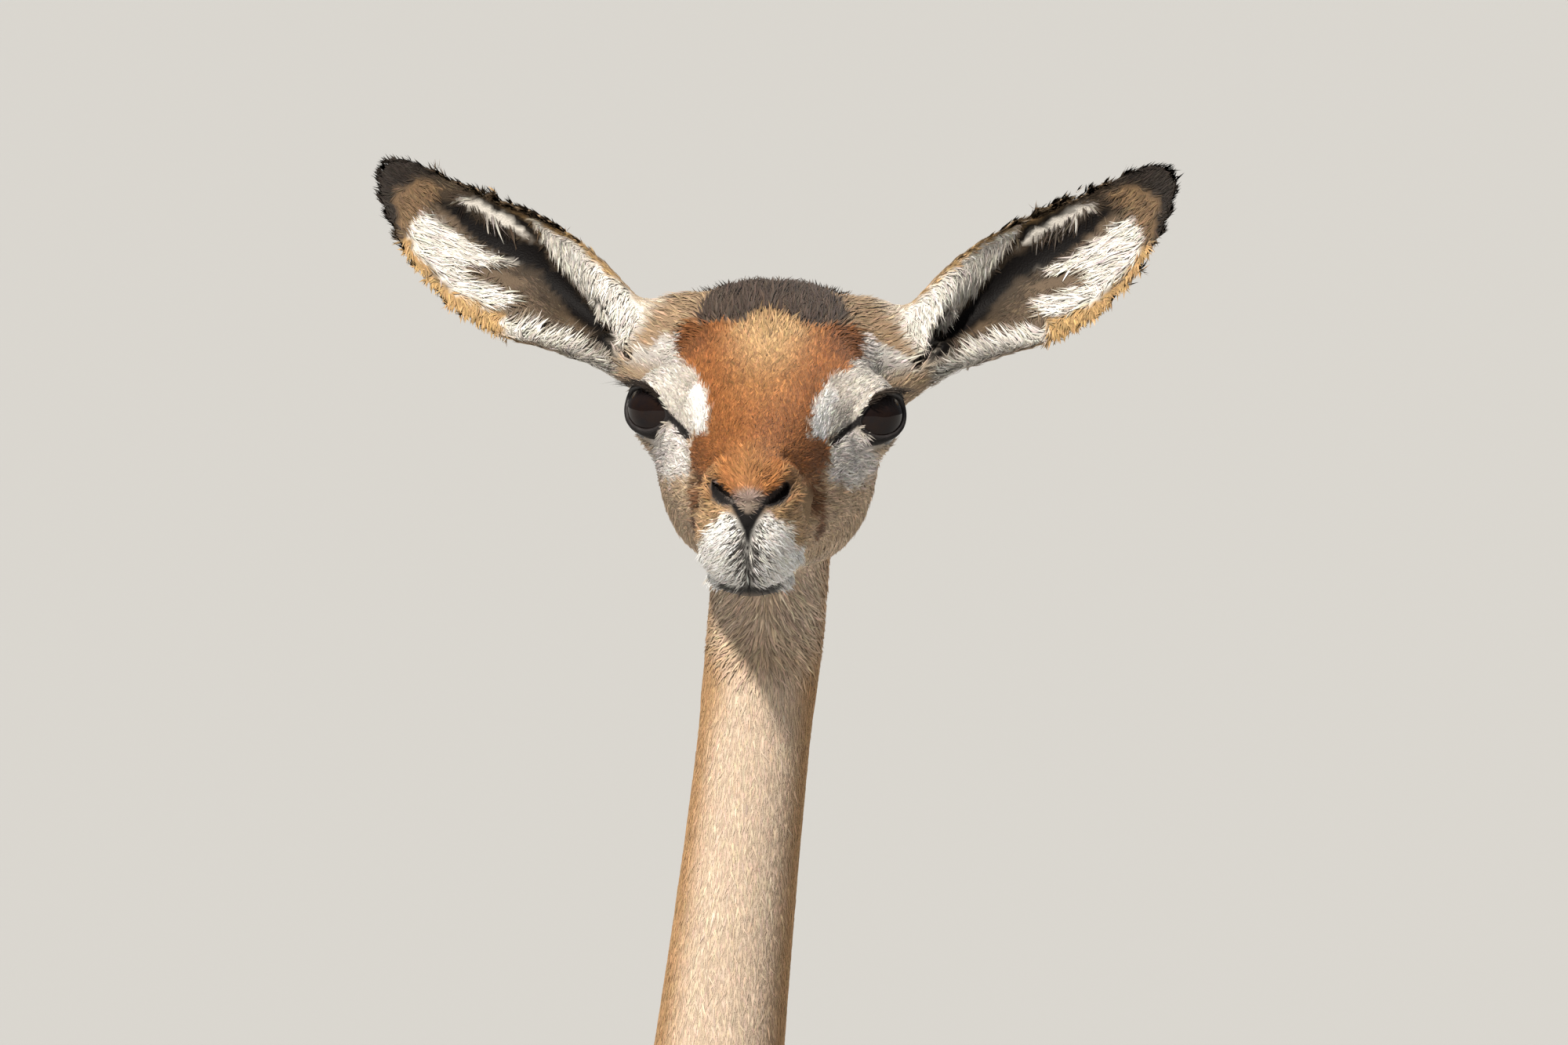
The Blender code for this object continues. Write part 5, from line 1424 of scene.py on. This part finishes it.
        rows = [roots["points"] - normals * form.sink]
        faced = [normals]
        for ring in range(form.rings):
            share = form.widest + (0.85 - form.widest) * ring / max(form.rings, 1)
            size = 1.0 - 0.35 * ring
            middle = spine(share)
            rows.append(middle - sideways * width * 0.5 * size)
            rows.append(middle + sideways * width * 0.5 * size)
            rows.append(middle + normals * width * form.flat * size)
            faced += [normals - sideways * form.round, normals + sideways * form.round, normals]
        rows.append(spine(1.0))
        faced.append(normals + lie * 0.2)
        points = np.stack(rows, 1)
        per = points.shape[1]
        faces = [(0, 1, 3), (0, 3, 2), (0, 2, 1)]
        for ring in range(form.rings - 1):
            a = 1 + 3 * ring
            for p, q in ((0, 2), (2, 1), (1, 0)):
                faces.append((a + p, a + 3 + p, a + 3 + q))
                faces.append((a + p, a + 3 + q, a + q))
        last = per - 4
        faces += [(last + 2, last, per - 1), (last + 1, last + 2, per - 1), (last, last + 1, per - 1)]
        index = (np.array(faces)[None] + (np.arange(count) * per)[:, None, None]).reshape(-1, 3)
        mesh = mesh_of(piece.name, points.reshape(-1, 3), index)
        mesh.normals_split_custom_set_from_vertices(unit(np.stack(faced, 1)).reshape(-1, 3))
        tone = roots["colour"] * draw.normal(1.0, form.jitter, (count, 1)) * (1 + draw.normal(0, 0.03, (count, 3)))
        tone = tone * draw.normal(1.0, form.clump_tone, number.max() + 1)[number][:, None]
        tone = tone * np.where(bold, np.where(draw.random((count, 1)) < 0.5, 0.74, 1.26), 1.0)
        shade = np.interp(np.arange(per) / (per - 1), (0.0, 0.3, 1.0), (form.root_shade, 0.93, 1.12))
        colours = np.zeros((count, per, 4))
        colours[..., :3] = np.clip(tone[:, None, :] * shade[None, :, None], 0.002, 0.95)
        spots = np.stack([np.linspace(0, 1, per), (np.arange(per) % 3) / 2], 1) * Unwrap.patch
        places = (roots["layout"][:, None, :] + spots[None]).reshape(-1, 2)
        paint(mesh, colours, places[index.ravel()])
        return placed(piece.name, mesh, finish)


def in_scene(name: str, data: bpy.types.ID) -> bpy.types.Object:
    """A new object for a mesh, light or camera."""
    made = bpy.data.objects.new(name, data)
    bpy.context.scene.collection.objects.link(made)
    return made


def placed(name: str, mesh: bpy.types.Mesh, finish: bpy.types.Material) -> bpy.types.Object:
    """An object for a mesh in the scene, with its finish."""
    mesh.materials.clear()
    mesh.materials.append(finish)
    return in_scene(name, mesh)


def settle(piece: bpy.types.Object) -> bpy.types.Object:
    """Fixes a piece to the still body and reports it."""
    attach(piece, "root")
    LOG.info("%s: %d faces", piece.name, len(piece.data.polygons))
    return piece


# Finishes


class Wiring:
    """Places nodes in a node tree and joins their sockets."""

    def __init__(self, tree: bpy.types.NodeTree) -> None:
        """Keeps the tree."""
        self.tree = tree

    def add(self, kind: str, values: dict[str | int, object] | None = None, **options: object) -> bpy.types.Node:
        """A new node.

        Args:
            kind: its type, without the word ShaderNode.
            values: what its input sockets hold.
            options: its settings.

        Returns:
            The node.
        """
        node = self.tree.nodes.new(f"ShaderNode{kind}")
        for name, value in options.items():
            setattr(node, name, value)
        for socket, value in (values or {}).items():
            node.inputs[socket].default_value = value
        return node

    def join(self, *ends: tuple[bpy.types.Node, str | int, bpy.types.Node, str | int]) -> None:
        """Joins nodes, each end given as node, output, node and input."""
        for source, output, target, socket in ends:
            self.tree.links.new(source.outputs[output], target.inputs[socket])


def new_finish(name: str) -> tuple[bpy.types.Material, Wiring, bpy.types.Node]:
    """A material that is still plain, its wiring and its shader."""
    made = bpy.data.materials.new(name)
    made.use_nodes = True
    return made, Wiring(made.node_tree), made.node_tree.nodes["Principled BSDF"]


def hair_tone_group() -> bpy.types.NodeTree:
    """A node group that varies a coat colour as real hair does, and gives a height for its grain."""
    tree = bpy.data.node_groups.new("hair_tone", "ShaderNodeTree")
    for name, kind, start in (
        ("Colour", "NodeSocketColor", (0.5, 0.4, 0.3, 1.0)),
        ("Grain Scale", "NodeSocketFloat", 900.0),
        ("Mottle Scale", "NodeSocketFloat", 60.0),
        ("Depth", "NodeSocketFloat", 0.25),
    ):
        tree.interface.new_socket(name=name, in_out="INPUT", socket_type=kind).default_value = start
    for name, kind in (("Colour", "NodeSocketColor"), ("Height", "NodeSocketFloat"), ("Roughness", "NodeSocketFloat")):
        tree.interface.new_socket(name=name, in_out="OUTPUT", socket_type=kind)
    source, result = tree.nodes.new("NodeGroupInput"), tree.nodes.new("NodeGroupOutput")
    wires = Wiring(tree)
    place = wires.add("TexCoord")
    grain, mottle = wires.add("TexNoise", {"Detail": 2.0}), wires.add("TexNoise", {"Detail": 4.0})
    both = wires.add("Math", operation="ADD")
    centred = wires.add("Math", operation="MULTIPLY_ADD")
    offset = wires.add("Math", {0: 1.0}, operation="SUBTRACT")
    shade = wires.add("VectorMath", operation="SCALE")
    rough = wires.add("MapRange", {"To Min": 0.5, "To Max": 0.75})
    wires.join(
        (place, "Object", grain, "Vector"),
        (place, "Object", mottle, "Vector"),
        (source, "Grain Scale", grain, "Scale"),
        (source, "Mottle Scale", mottle, "Scale"),
        (grain, "Fac", both, 0),
        (mottle, "Fac", both, 1),
        (both, 0, centred, 0),
        (source, "Depth", centred, 1),
        (source, "Depth", offset, 1),
        (offset, 0, centred, 2),
        (source, "Colour", shade, 0),
        (centred, 0, shade, "Scale"),
        (grain, "Fac", rough, "Value"),
        (shade, 0, result, "Colour"),
        (grain, "Fac", result, "Height"),
        (rough, 0, result, "Roughness"),
    )
    return tree


@dataclass(frozen=True)
class HairFinish:
    """A finish that takes its markings from the mesh and varies them."""

    name: str
    grain_scale: float = 900.0
    mottle_scale: float = 70.0
    depth: float = 0.22
    bump: float = 0.15
    specular: float = 0.12
    wet_shine: float = -0.45

    def material(self, tone: bpy.types.NodeTree) -> bpy.types.Material:
        """The finish as a material.

        Args:
            tone: the shared node group.

        Returns:
            The material.
        """
        made, wires, shader = new_finish(self.name)
        shader.inputs["Specular IOR Level"].default_value = self.specular
        marks = wires.add("Attribute", attribute_name=COLOUR_MAP)
        scales = {"Grain Scale": self.grain_scale, "Mottle Scale": self.mottle_scale, "Depth": self.depth}
        group = wires.add("Group", scales, node_tree=tone)
        wet = wires.add("MapRange", {"To Min": 0.0, "To Max": self.wet_shine})
        rough = wires.add("Math")
        bump = wires.add("Bump", {"Strength": self.bump, "Distance": 0.0006})
        wires.join(
            (marks, "Alpha", wet, "Value"),
            (group, "Roughness", rough, 0),
            (wet, 0, rough, 1),
            (marks, "Color", group, "Colour"),
            (group, "Colour", shader, "Base Color"),
            (rough, 0, shader, "Roughness"),
            (group, "Height", bump, "Height"),
            (bump, "Normal", shader, "Normal"),
        )
        return made


class Pattern(Enum):
    """What parts the two tones of a bare surface."""

    SPECKS = "TexNoise"
    RINGS = "TexWave"


@dataclass(frozen=True)
class BareFinish:
    """A finish of two tones, parted by a pattern, for what has no hair."""

    name: str
    dark: tuple[float, float, float]
    light: tuple[float, float, float]
    scale: float
    pattern: Pattern = Pattern.SPECKS
    detail: float = 2.0
    distortion: float = 0.0
    roughness: tuple[float, float] = (0.3, 0.6)
    specular: float = 0.5
    bump: float = 0.0
    bump_reach: float = 0.0005

    def material(self) -> bpy.types.Material:
        """The finish as a material."""
        made, wires, shader = new_finish(self.name)
        shader.inputs["Specular IOR Level"].default_value = self.specular
        shader.inputs["Roughness"].default_value = self.roughness[0]
        place = wires.add("TexCoord")
        sockets = {"Scale": self.scale, "Detail": self.detail, "Distortion": self.distortion}
        pattern = wires.add(self.pattern.value, sockets)
        if self.pattern is Pattern.RINGS:
            pattern.bands_direction = "Z"
        mix = wires.add("Mix", {"A": (*self.dark, 1.0), "B": (*self.light, 1.0)}, data_type="RGBA")
        wires.join(
            (place, "Object", pattern, "Vector"),
            (pattern, "Fac", mix, "Factor"),
            (mix, "Result", shader, "Base Color"),
        )
        if self.bump:
            rough = wires.add("MapRange", {"To Min": self.roughness[0], "To Max": self.roughness[1]})
            bump = wires.add("Bump", {"Strength": self.bump, "Distance": self.bump_reach})
            wires.join(
                (pattern, "Fac", rough, "Value"),
                (rough, 0, shader, "Roughness"),
                (pattern, "Fac", bump, "Height"),
                (bump, "Normal", shader, "Normal"),
            )
        return made


WET_EYE = BareFinish(
    "wet_eye", (0.004, 0.004, 0.006), (0.016, 0.0075, 0.004), 260.0, detail=3.0, roughness=(0.05, 0.05), specular=0.22
)
HOOF_HORN = BareFinish(
    "hoof_horn", (0.012, 0.010, 0.009), (0.055, 0.045, 0.036), 130.0, Pattern.RINGS, 3.0, 2.5, (0.32, 0.6), bump=0.3
)
LID_SKIN = BareFinish(
    "lid_skin", (0.014, 0.012, 0.012), (0.0308, 0.0264, 0.0264), 700.0, specular=0.25, bump=0.4, bump_reach=0.0003
)


# Sub-assemblies


@dataclass
class Eye:
    """An eyeball with a bulged cornea, and the dark rim of its lids."""

    side: int
    columns: int = 64
    rows: int = 40
    bulge: float = 0.05
    rim_steps: int = 72
    rim_profile: Outline = ((1.05, 1.58), (1.03, 1.64), (1.0, 1.64), (0.975, 1.58), (0.97, 1.47), (1.04, 1.42))

    @property
    def word(self) -> str:
        """The side in words."""
        return "left" if self.side > 0 else "right"

    def globe(self, finish: bpy.types.Material) -> None:
        """Makes the eyeball."""
        middle, gaze = eye_axes(self.side)[:2]
        shape = bmesh.new()
        bmesh.ops.create_uvsphere(shape, u_segments=self.columns, v_segments=self.rows, radius=1.0)
        mesh = mesh_from(shape, "globe")
        away = unit(read_points(mesh))
        bulge = self.bulge * ease(away @ gaze, 0.80, 0.97)
        write_points(mesh, HEAD.world(middle + away * (EYE_RADIUS + bulge)[:, None]))
        if mesh.polygons[0].normal.dot(Vector(read_points(mesh)[0] - HEAD.world(middle[None])[0])) < 0:
            mesh.flip_normals()
        mesh.shade_smooth()
        globe = placed(f"eyeball_{self.word}", mesh, finish)
        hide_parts(f"eye_{self.word}")
        settle(globe)

    def rim(self, finish: bpy.types.Material) -> None:
        """Makes the smooth dark margin of the lids."""
        middle = eye_axes(self.side)[0]
        rings = []
        for turn in np.arange(self.rim_steps) * 2 * math.pi / self.rim_steps:
            ring = [middle + on_lid(self.side, turn, share) * reach for share, reach in self.rim_profile]
            rings.append(HEAD.world(np.array(ring)))
        rings = np.array(rings)
        if self.side > 0:
            rings = rings[:, ::-1]
        mesh = self.closed_band(rings)
        settle(placed(f"lid_rim_{self.word}", mesh, finish))

    @staticmethod
    def closed_band(rings: Array) -> bpy.types.Mesh:
        """A closed tube whose last ring meets its first."""
        rows, count = rings.shape[:2]
        index = np.arange(rows * count).reshape(rows, count)
        low, high = index, np.roll(index, -1, axis=0)
        faces = np.stack([low, np.roll(low, -1, 1), np.roll(high, -1, 1), high], -1).reshape(-1, 4)
        return mesh_of("band", rings.reshape(-1, 3), faces)

    def build(self, wet: bpy.types.Material, lid: bpy.types.Material) -> None:
        """Makes the eye."""
        self.globe(wet)
        self.rim(lid)


@dataclass
class Lashes:
    """The long dark lashes of the upper lids."""

    count: int = 320
    inner_deg: float = 45.0
    outer_deg: float = 182.0
    root_reach: float = 1.66
    width: float = 0.026
    lift: float = 0.35

    def build(self, fur: Fur, finish: bpy.types.Material) -> None:
        """Makes the lashes of both eyes as one piece."""
        draw = np.random.default_rng(SEED)
        rows = {name: [] for name in ("points", "normals", "lie", "length")}
        for side in (-1, 1):
            middle = eye_axes(side)[0]
            for _ in range(self.count):
                turn = math.radians(draw.uniform(self.inner_deg, self.outer_deg))
                way = on_lid(side, turn, draw.uniform(1.0, 1.16))
                outer = ease(np.array(turn), 1.2, 2.6).item()
                out = way * 0.35 + np.array((side * (0.6 + 0.8 * outer), 0.1, 0.22 - 0.25 * outer))
                out = out + draw.normal(0, 0.12, 3)
                rows["points"].append(HEAD.world((middle + way * self.root_reach)[None])[0])
                rows["normals"].append(unit(np.cross(np.cross(out, way), out)) @ HEAD.turn.T)
                rows["lie"].append(unit(out) @ HEAD.turn.T)
                rows["length"].append(0.35 + 0.6 * outer * draw.random())
        total = 2 * self.count
        roots = {name: np.array(values, float) for name, values in rows.items()}
        roots["colour"] = np.tile(Hue.LASH.value, (total, 1))
        roots["width"] = np.full(total, self.width)
        roots["lift"] = np.full(total, self.lift)
        roots["layout"] = np.tile((0.02, 0.98), (total, 1))
        piece = CoatPiece("lashes", total, TuftForm(rings=2, widest=0.3, droop=0.9))
        settle(fur.grown(piece, roots, draw, finish))


@dataclass
class Hooves:
    """The eight claws, finished as horn with softened edges."""

    def build(self, horn: bpy.types.Material) -> None:
        """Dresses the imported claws."""
        for name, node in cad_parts.items():
            if name.startswith("hoof_"):
                weld = node.modifiers.new("weld", "WELD")
                weld.merge_threshold = 1e-5
                bevel = node.modifiers.new("edge", "BEVEL")
                bevel.width, bevel.segments, bevel.limit_method = 0.0007, 2, "ANGLE"
                node.data.materials.clear()
                node.data.materials.append(horn)


@dataclass
class TailTuft:
    """The black tuft of the tail, as long locks round its core."""

    locks: int = 2600
    length: float = 6.5
    core_radius: float = 0.005

    def build(self, fur: Fur, finish: bpy.types.Material) -> None:
        """Makes the locks."""
        low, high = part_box("tail_tuft")
        draw = np.random.default_rng(SEED + 5)
        middle = np.array([(low.x + high.x) / 2, (low.y + high.y) / 2, 0.0])
        turn = draw.uniform(0, 2 * math.pi, self.locks)
        out = np.stack([np.cos(turn), np.sin(turn), np.zeros(self.locks)], 1)
        share = draw.random(self.locks)
        height = high.z - 0.002 - share * (high.z - low.z - 0.055)
        points = middle + out * self.core_radius
        points[:, 2] = height
        roots = {
            "points": points,
            "normals": out,
            "lie": np.tile((0.0, 0.0, -1.0), (self.locks, 1)),
            "colour": np.tile(Hue.TUFT_BLACK.value, (self.locks, 1)),
            "length": np.full(self.locks, self.length) * (0.6 + 0.25 * share),
            "width": np.full(self.locks, 0.13),
            "lift": np.full(self.locks, 0.22),
            "layout": np.stack([0.9 + 0.02 * turn / 6.3, 0.9 + 0.05 * share], 1),
        }
        form = TuftForm(rings=3, widest=0.25, droop=0.75)
        settle(fur.grown(CoatPiece("tail_locks", self.locks, form), roots, draw, finish))


@dataclass
class Body:
    """The skin with its markings, and the coat that grows on it."""

    skin: Skin = field(default_factory=Skin)

    def build(self) -> tuple[Fur, dict[str, bpy.types.Material]]:
        """Makes the skin and every piece of the coat.

        Returns:
            The fur maker and the materials.
        """
        tone = hair_tone_group()
        finishes = {
            "skin": HairFinish("skin_coat", grain_scale=1500.0, depth=0.3, bump=0.5).material(tone),
            "fine": HairFinish("fine_hair", depth=0.12).material(tone),
            "body": HairFinish("body_hair", grain_scale=500.0, mottle_scale=30.0, depth=0.16).material(tone),
            "long": HairFinish("long_hair", grain_scale=600.0, depth=0.15, specular=0.16).material(tone),
        }
        mesh = self.skin.build()
        coat = Coat(read_points(mesh), read_normals(mesh))
        layout = Unwrap().places(coat.head, coat.body, coat.masks)
        self.finish_skin(mesh, coat, layout, finishes["skin"])
        fur = Fur(mesh, coat, layout)
        self.grow(fur, coat, finishes)
        return fur, finishes

    @staticmethod
    def finish_skin(mesh: bpy.types.Mesh, coat: Coat, layout: Array, finish: bpy.types.Material) -> None:
        """Paints the skin and puts it in place of the flesh."""
        colours = np.ones((len(coat.points), 4))
        colours[:, :3] = np.clip(coat.colour * coat.under[:, None], 0.002, 0.95)
        colours[:, 3] = coat.wet
        corners = np.empty(len(mesh.loops), np.int32)
        mesh.loops.foreach_get("vertex_index", corners)
        paint(mesh, colours, layout[corners])
        skin = placed("skin", mesh, finish)
        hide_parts(*dict.fromkeys(HEAD_NODES + BODY_NODES), "tail_tuft")
        settle(skin)

    @staticmethod
    def grow(fur: Fur, coat: Coat, finishes: dict[str, bpy.types.Material]) -> None:
        """Makes the pieces of the coat, the finest where the photo is closest."""
        masks, head, thick = coat.masks, coat.head, coat.thick
        facing = ease(head[:, 1], -4.0, 1.0)
        left = coat.side > 0
        ear_face = {side: ease(coat.head_normals @ axes.frame()[3], -0.35, 0.0) for side, axes in EARS.items()}
        crown = masks["head"] * (coat.length > 0.85) * (head[:, 2] > 0)
        rest = masks["head"] * (1 - (crown > 0.5)) * thick
        front = rest * facing
        muzzle = front * ease(head[:, 1], 5.5, 6.5)
        brow = front * (1 - ease(head[:, 1], 5.5, 6.5)) * ease(head[:, 2], -0.6, 0.4)
        cheek = front * (1 - ease(head[:, 1], 5.5, 6.5)) * (1 - ease(head[:, 2], -0.6, 0.4))
        fine, long, body = finishes["fine"], finishes["long"], finishes["body"]
        coarse = TuftForm(clump=0.4, clump_size=0.006)
        smooth = TuftForm(clump=0.1, clump_tone=0.02, round=0.25, bold=0.03, root_shade=0.85, jitter=0.08)
        longer = TuftForm(rings=2, widest=0.35, clump=0.5, clump_size=0.003)
        ear_left, ear_right = masks["ear_left"] * thick, masks["ear_right"] * thick
        neck = masks["neck"] * (0.5 + ease(coat.points[:, 2], 1.08, 1.14))
        behind = coat.body[:, 1] >= 40
        pieces = (
            (CoatPiece("coat_muzzle", 26000), muzzle, fine, "face_coat"),
            (CoatPiece("coat_brow", 26000), brow, fine, "face_coat"),
            (CoatPiece("coat_cheeks", 18000), cheek, fine, "face_coat"),
            (CoatPiece("coat_back_of_head", 10000), rest * (1 - facing), fine, "face_coat"),
            (CoatPiece("coat_crown", 7000, longer), crown, long, "face_coat"),
            (CoatPiece("coat_ear_left", 12000), ear_left * (1 - ear_face[1]), fine, "ear_coat"),
            (CoatPiece("coat_ear_right", 12000), ear_right * (1 - ear_face[-1]), fine, "ear_coat"),
            (CoatPiece("fringe_ear_left", 9000, longer), ear_left * ear_face[1], long, "ear_coat"),
            (CoatPiece("fringe_ear_right", 9000, longer), ear_right * ear_face[-1], long, "ear_coat"),
            (CoatPiece("coat_neck", 30000, smooth), neck, fine, "body_coat"),
            (CoatPiece("coat_trunk_left", 16000, coarse), masks["trunk"] * left, body, "body_coat"),
            (CoatPiece("coat_trunk_right", 16000, coarse), masks["trunk"] * ~left, body, "body_coat"),
            (CoatPiece("coat_fore_legs", 9000), masks["legs"] * ~behind, body, "body_coat"),
            (CoatPiece("coat_hind_legs", 11000), masks["legs"] * behind, body, "body_coat"),
        )
        for piece, weight, finish, slot in pieces:
            settle(fur.tufts(piece, weight, finish))


@dataclass
class Studio:
    """A plain pale floor, soft lights and the camera of the photo's view."""

    distance: float = 9.0
    frame_width: float = 0.62
    sensor: float = 36.0
    aside: float = 0.0074
    below: float = 0.0425
    floor_reach: float = 400.0
    ambient: float = 0.34
    pale: tuple[float, float, float] = (0.40, 0.395, 0.385)
    backdrop: tuple[float, float, float] = (0.66, 0.66, 0.65)
    soft_tone: tuple[float, float, float, float] = (0.92, 0.96, 1.0, 1.0)

    def camera(self) -> None:
        """Sets the camera level with the head, far away as the photo's long lens was."""
        down = math.radians(HEAD.view_down_deg)
        out = Vector((0.0, -math.cos(down), math.sin(down)))
        rise = Vector((0.0, math.sin(down), math.cos(down)))
        target = Vector(HEAD.origin) + Vector((self.aside, 0, 0)) - rise * self.below
        data = bpy.data.cameras.new("camera")
        data.sensor_width = self.sensor
        data.lens = self.sensor * self.distance / self.frame_width
        data.clip_end = 1000.0
        made = in_scene("camera", data)
        made.location = target + out * self.distance
        made.rotation_euler = (-out).to_track_quat("-Z", "Y").to_euler()
        bpy.context.scene.camera = made

    def floor(self) -> None:
        """Lays the floor."""
        reach = self.floor_reach
        points = np.array([(-reach, -reach, 0), (reach, -reach, 0), (reach, reach, 0), (-reach, reach, 0)], float)
        made, _, shader = new_finish("pale_floor")
        shader.inputs["Base Color"].default_value = (*self.pale, 1.0)
        shader.inputs["Roughness"].default_value = 0.9
        placed("floor", mesh_of("floor", points, np.array([[0, 1, 2, 3]])), made)

    @staticmethod
    def sun(name: str, toward: tuple[float, ...], power: float, spread_deg: float, tone: tuple[float, ...]) -> None:
        """Hangs a far soft light that shines from a direction.

        Args:
            name: its name.
            toward: the way to the light.
            power: its strength.
            spread_deg: how wide it is in the sky, which softens its shadows.
            tone: its colour.
        """
        data = bpy.data.lights.new(name, "SUN")
        data.angle, data.energy, data.color = math.radians(spread_deg), power, tone
        made = in_scene(name, data)
        made.rotation_euler = (-Vector(toward)).to_track_quat("-Z", "Y").to_euler()

    def air(self) -> bpy.types.World:
        """The light from all round, with the floor's tone behind everything."""
        world = bpy.data.worlds.new("studio")
        world.use_nodes = True
        nodes, wires = world.node_tree.nodes, Wiring(world.node_tree)
        soft = nodes["Background"]
        soft.inputs["Color"].default_value = self.soft_tone
        place, split = wires.add("TexCoord"), wires.add("SeparateXYZ")
        reach = {"From Min": -0.1, "To Min": 0.25 * self.ambient, "To Max": self.ambient}
        fade = wires.add("MapRange", reach)
        plain = wires.add("Background", {"Color": (*self.backdrop, 1.0)})
        path, mix = wires.add("LightPath"), wires.add("MixShader")
        wires.join(
            (place, "Generated", split, 0),
            (split, "Z", fade, "Value"),
            (fade, 0, soft, "Strength"),
            (path, "Is Camera Ray", mix, "Fac"),
            (soft, 0, mix, 1),
            (plain, 0, mix, 2),
            (mix, 0, nodes["World Output"], "Surface"),
        )
        return world

    def build(self) -> None:
        """Makes floor, lights, air and camera."""
        scene = bpy.context.scene
        scene.world = self.air()
        scene.view_settings.view_transform = "Standard"
        self.floor()
        self.sun("key", (-0.28, -0.68, 0.68), 6.1, 3.0, (1.0, 0.95, 0.87))
        self.sun("back", (0.5, 0.9, 1.1), 0.8, 25.0, (0.95, 0.98, 1.0))
        self.camera()


def main() -> None:
    """Builds the gerenuk and its studio in order."""
    logging.basicConfig(level=logging.INFO, format="%(name)s %(message)s")
    fur, finishes = Body().build()
    wet, lid = WET_EYE.material(), LID_SKIN.material()
    for side in (-1, 1):
        Eye(side).build(wet, lid)
    Lashes().build(fur, finishes["long"])
    TailTuft().build(fur, finishes["long"])
    Hooves().build(HOOF_HORN.material())
    Studio().build()


if __name__ == "__main__":
    main()
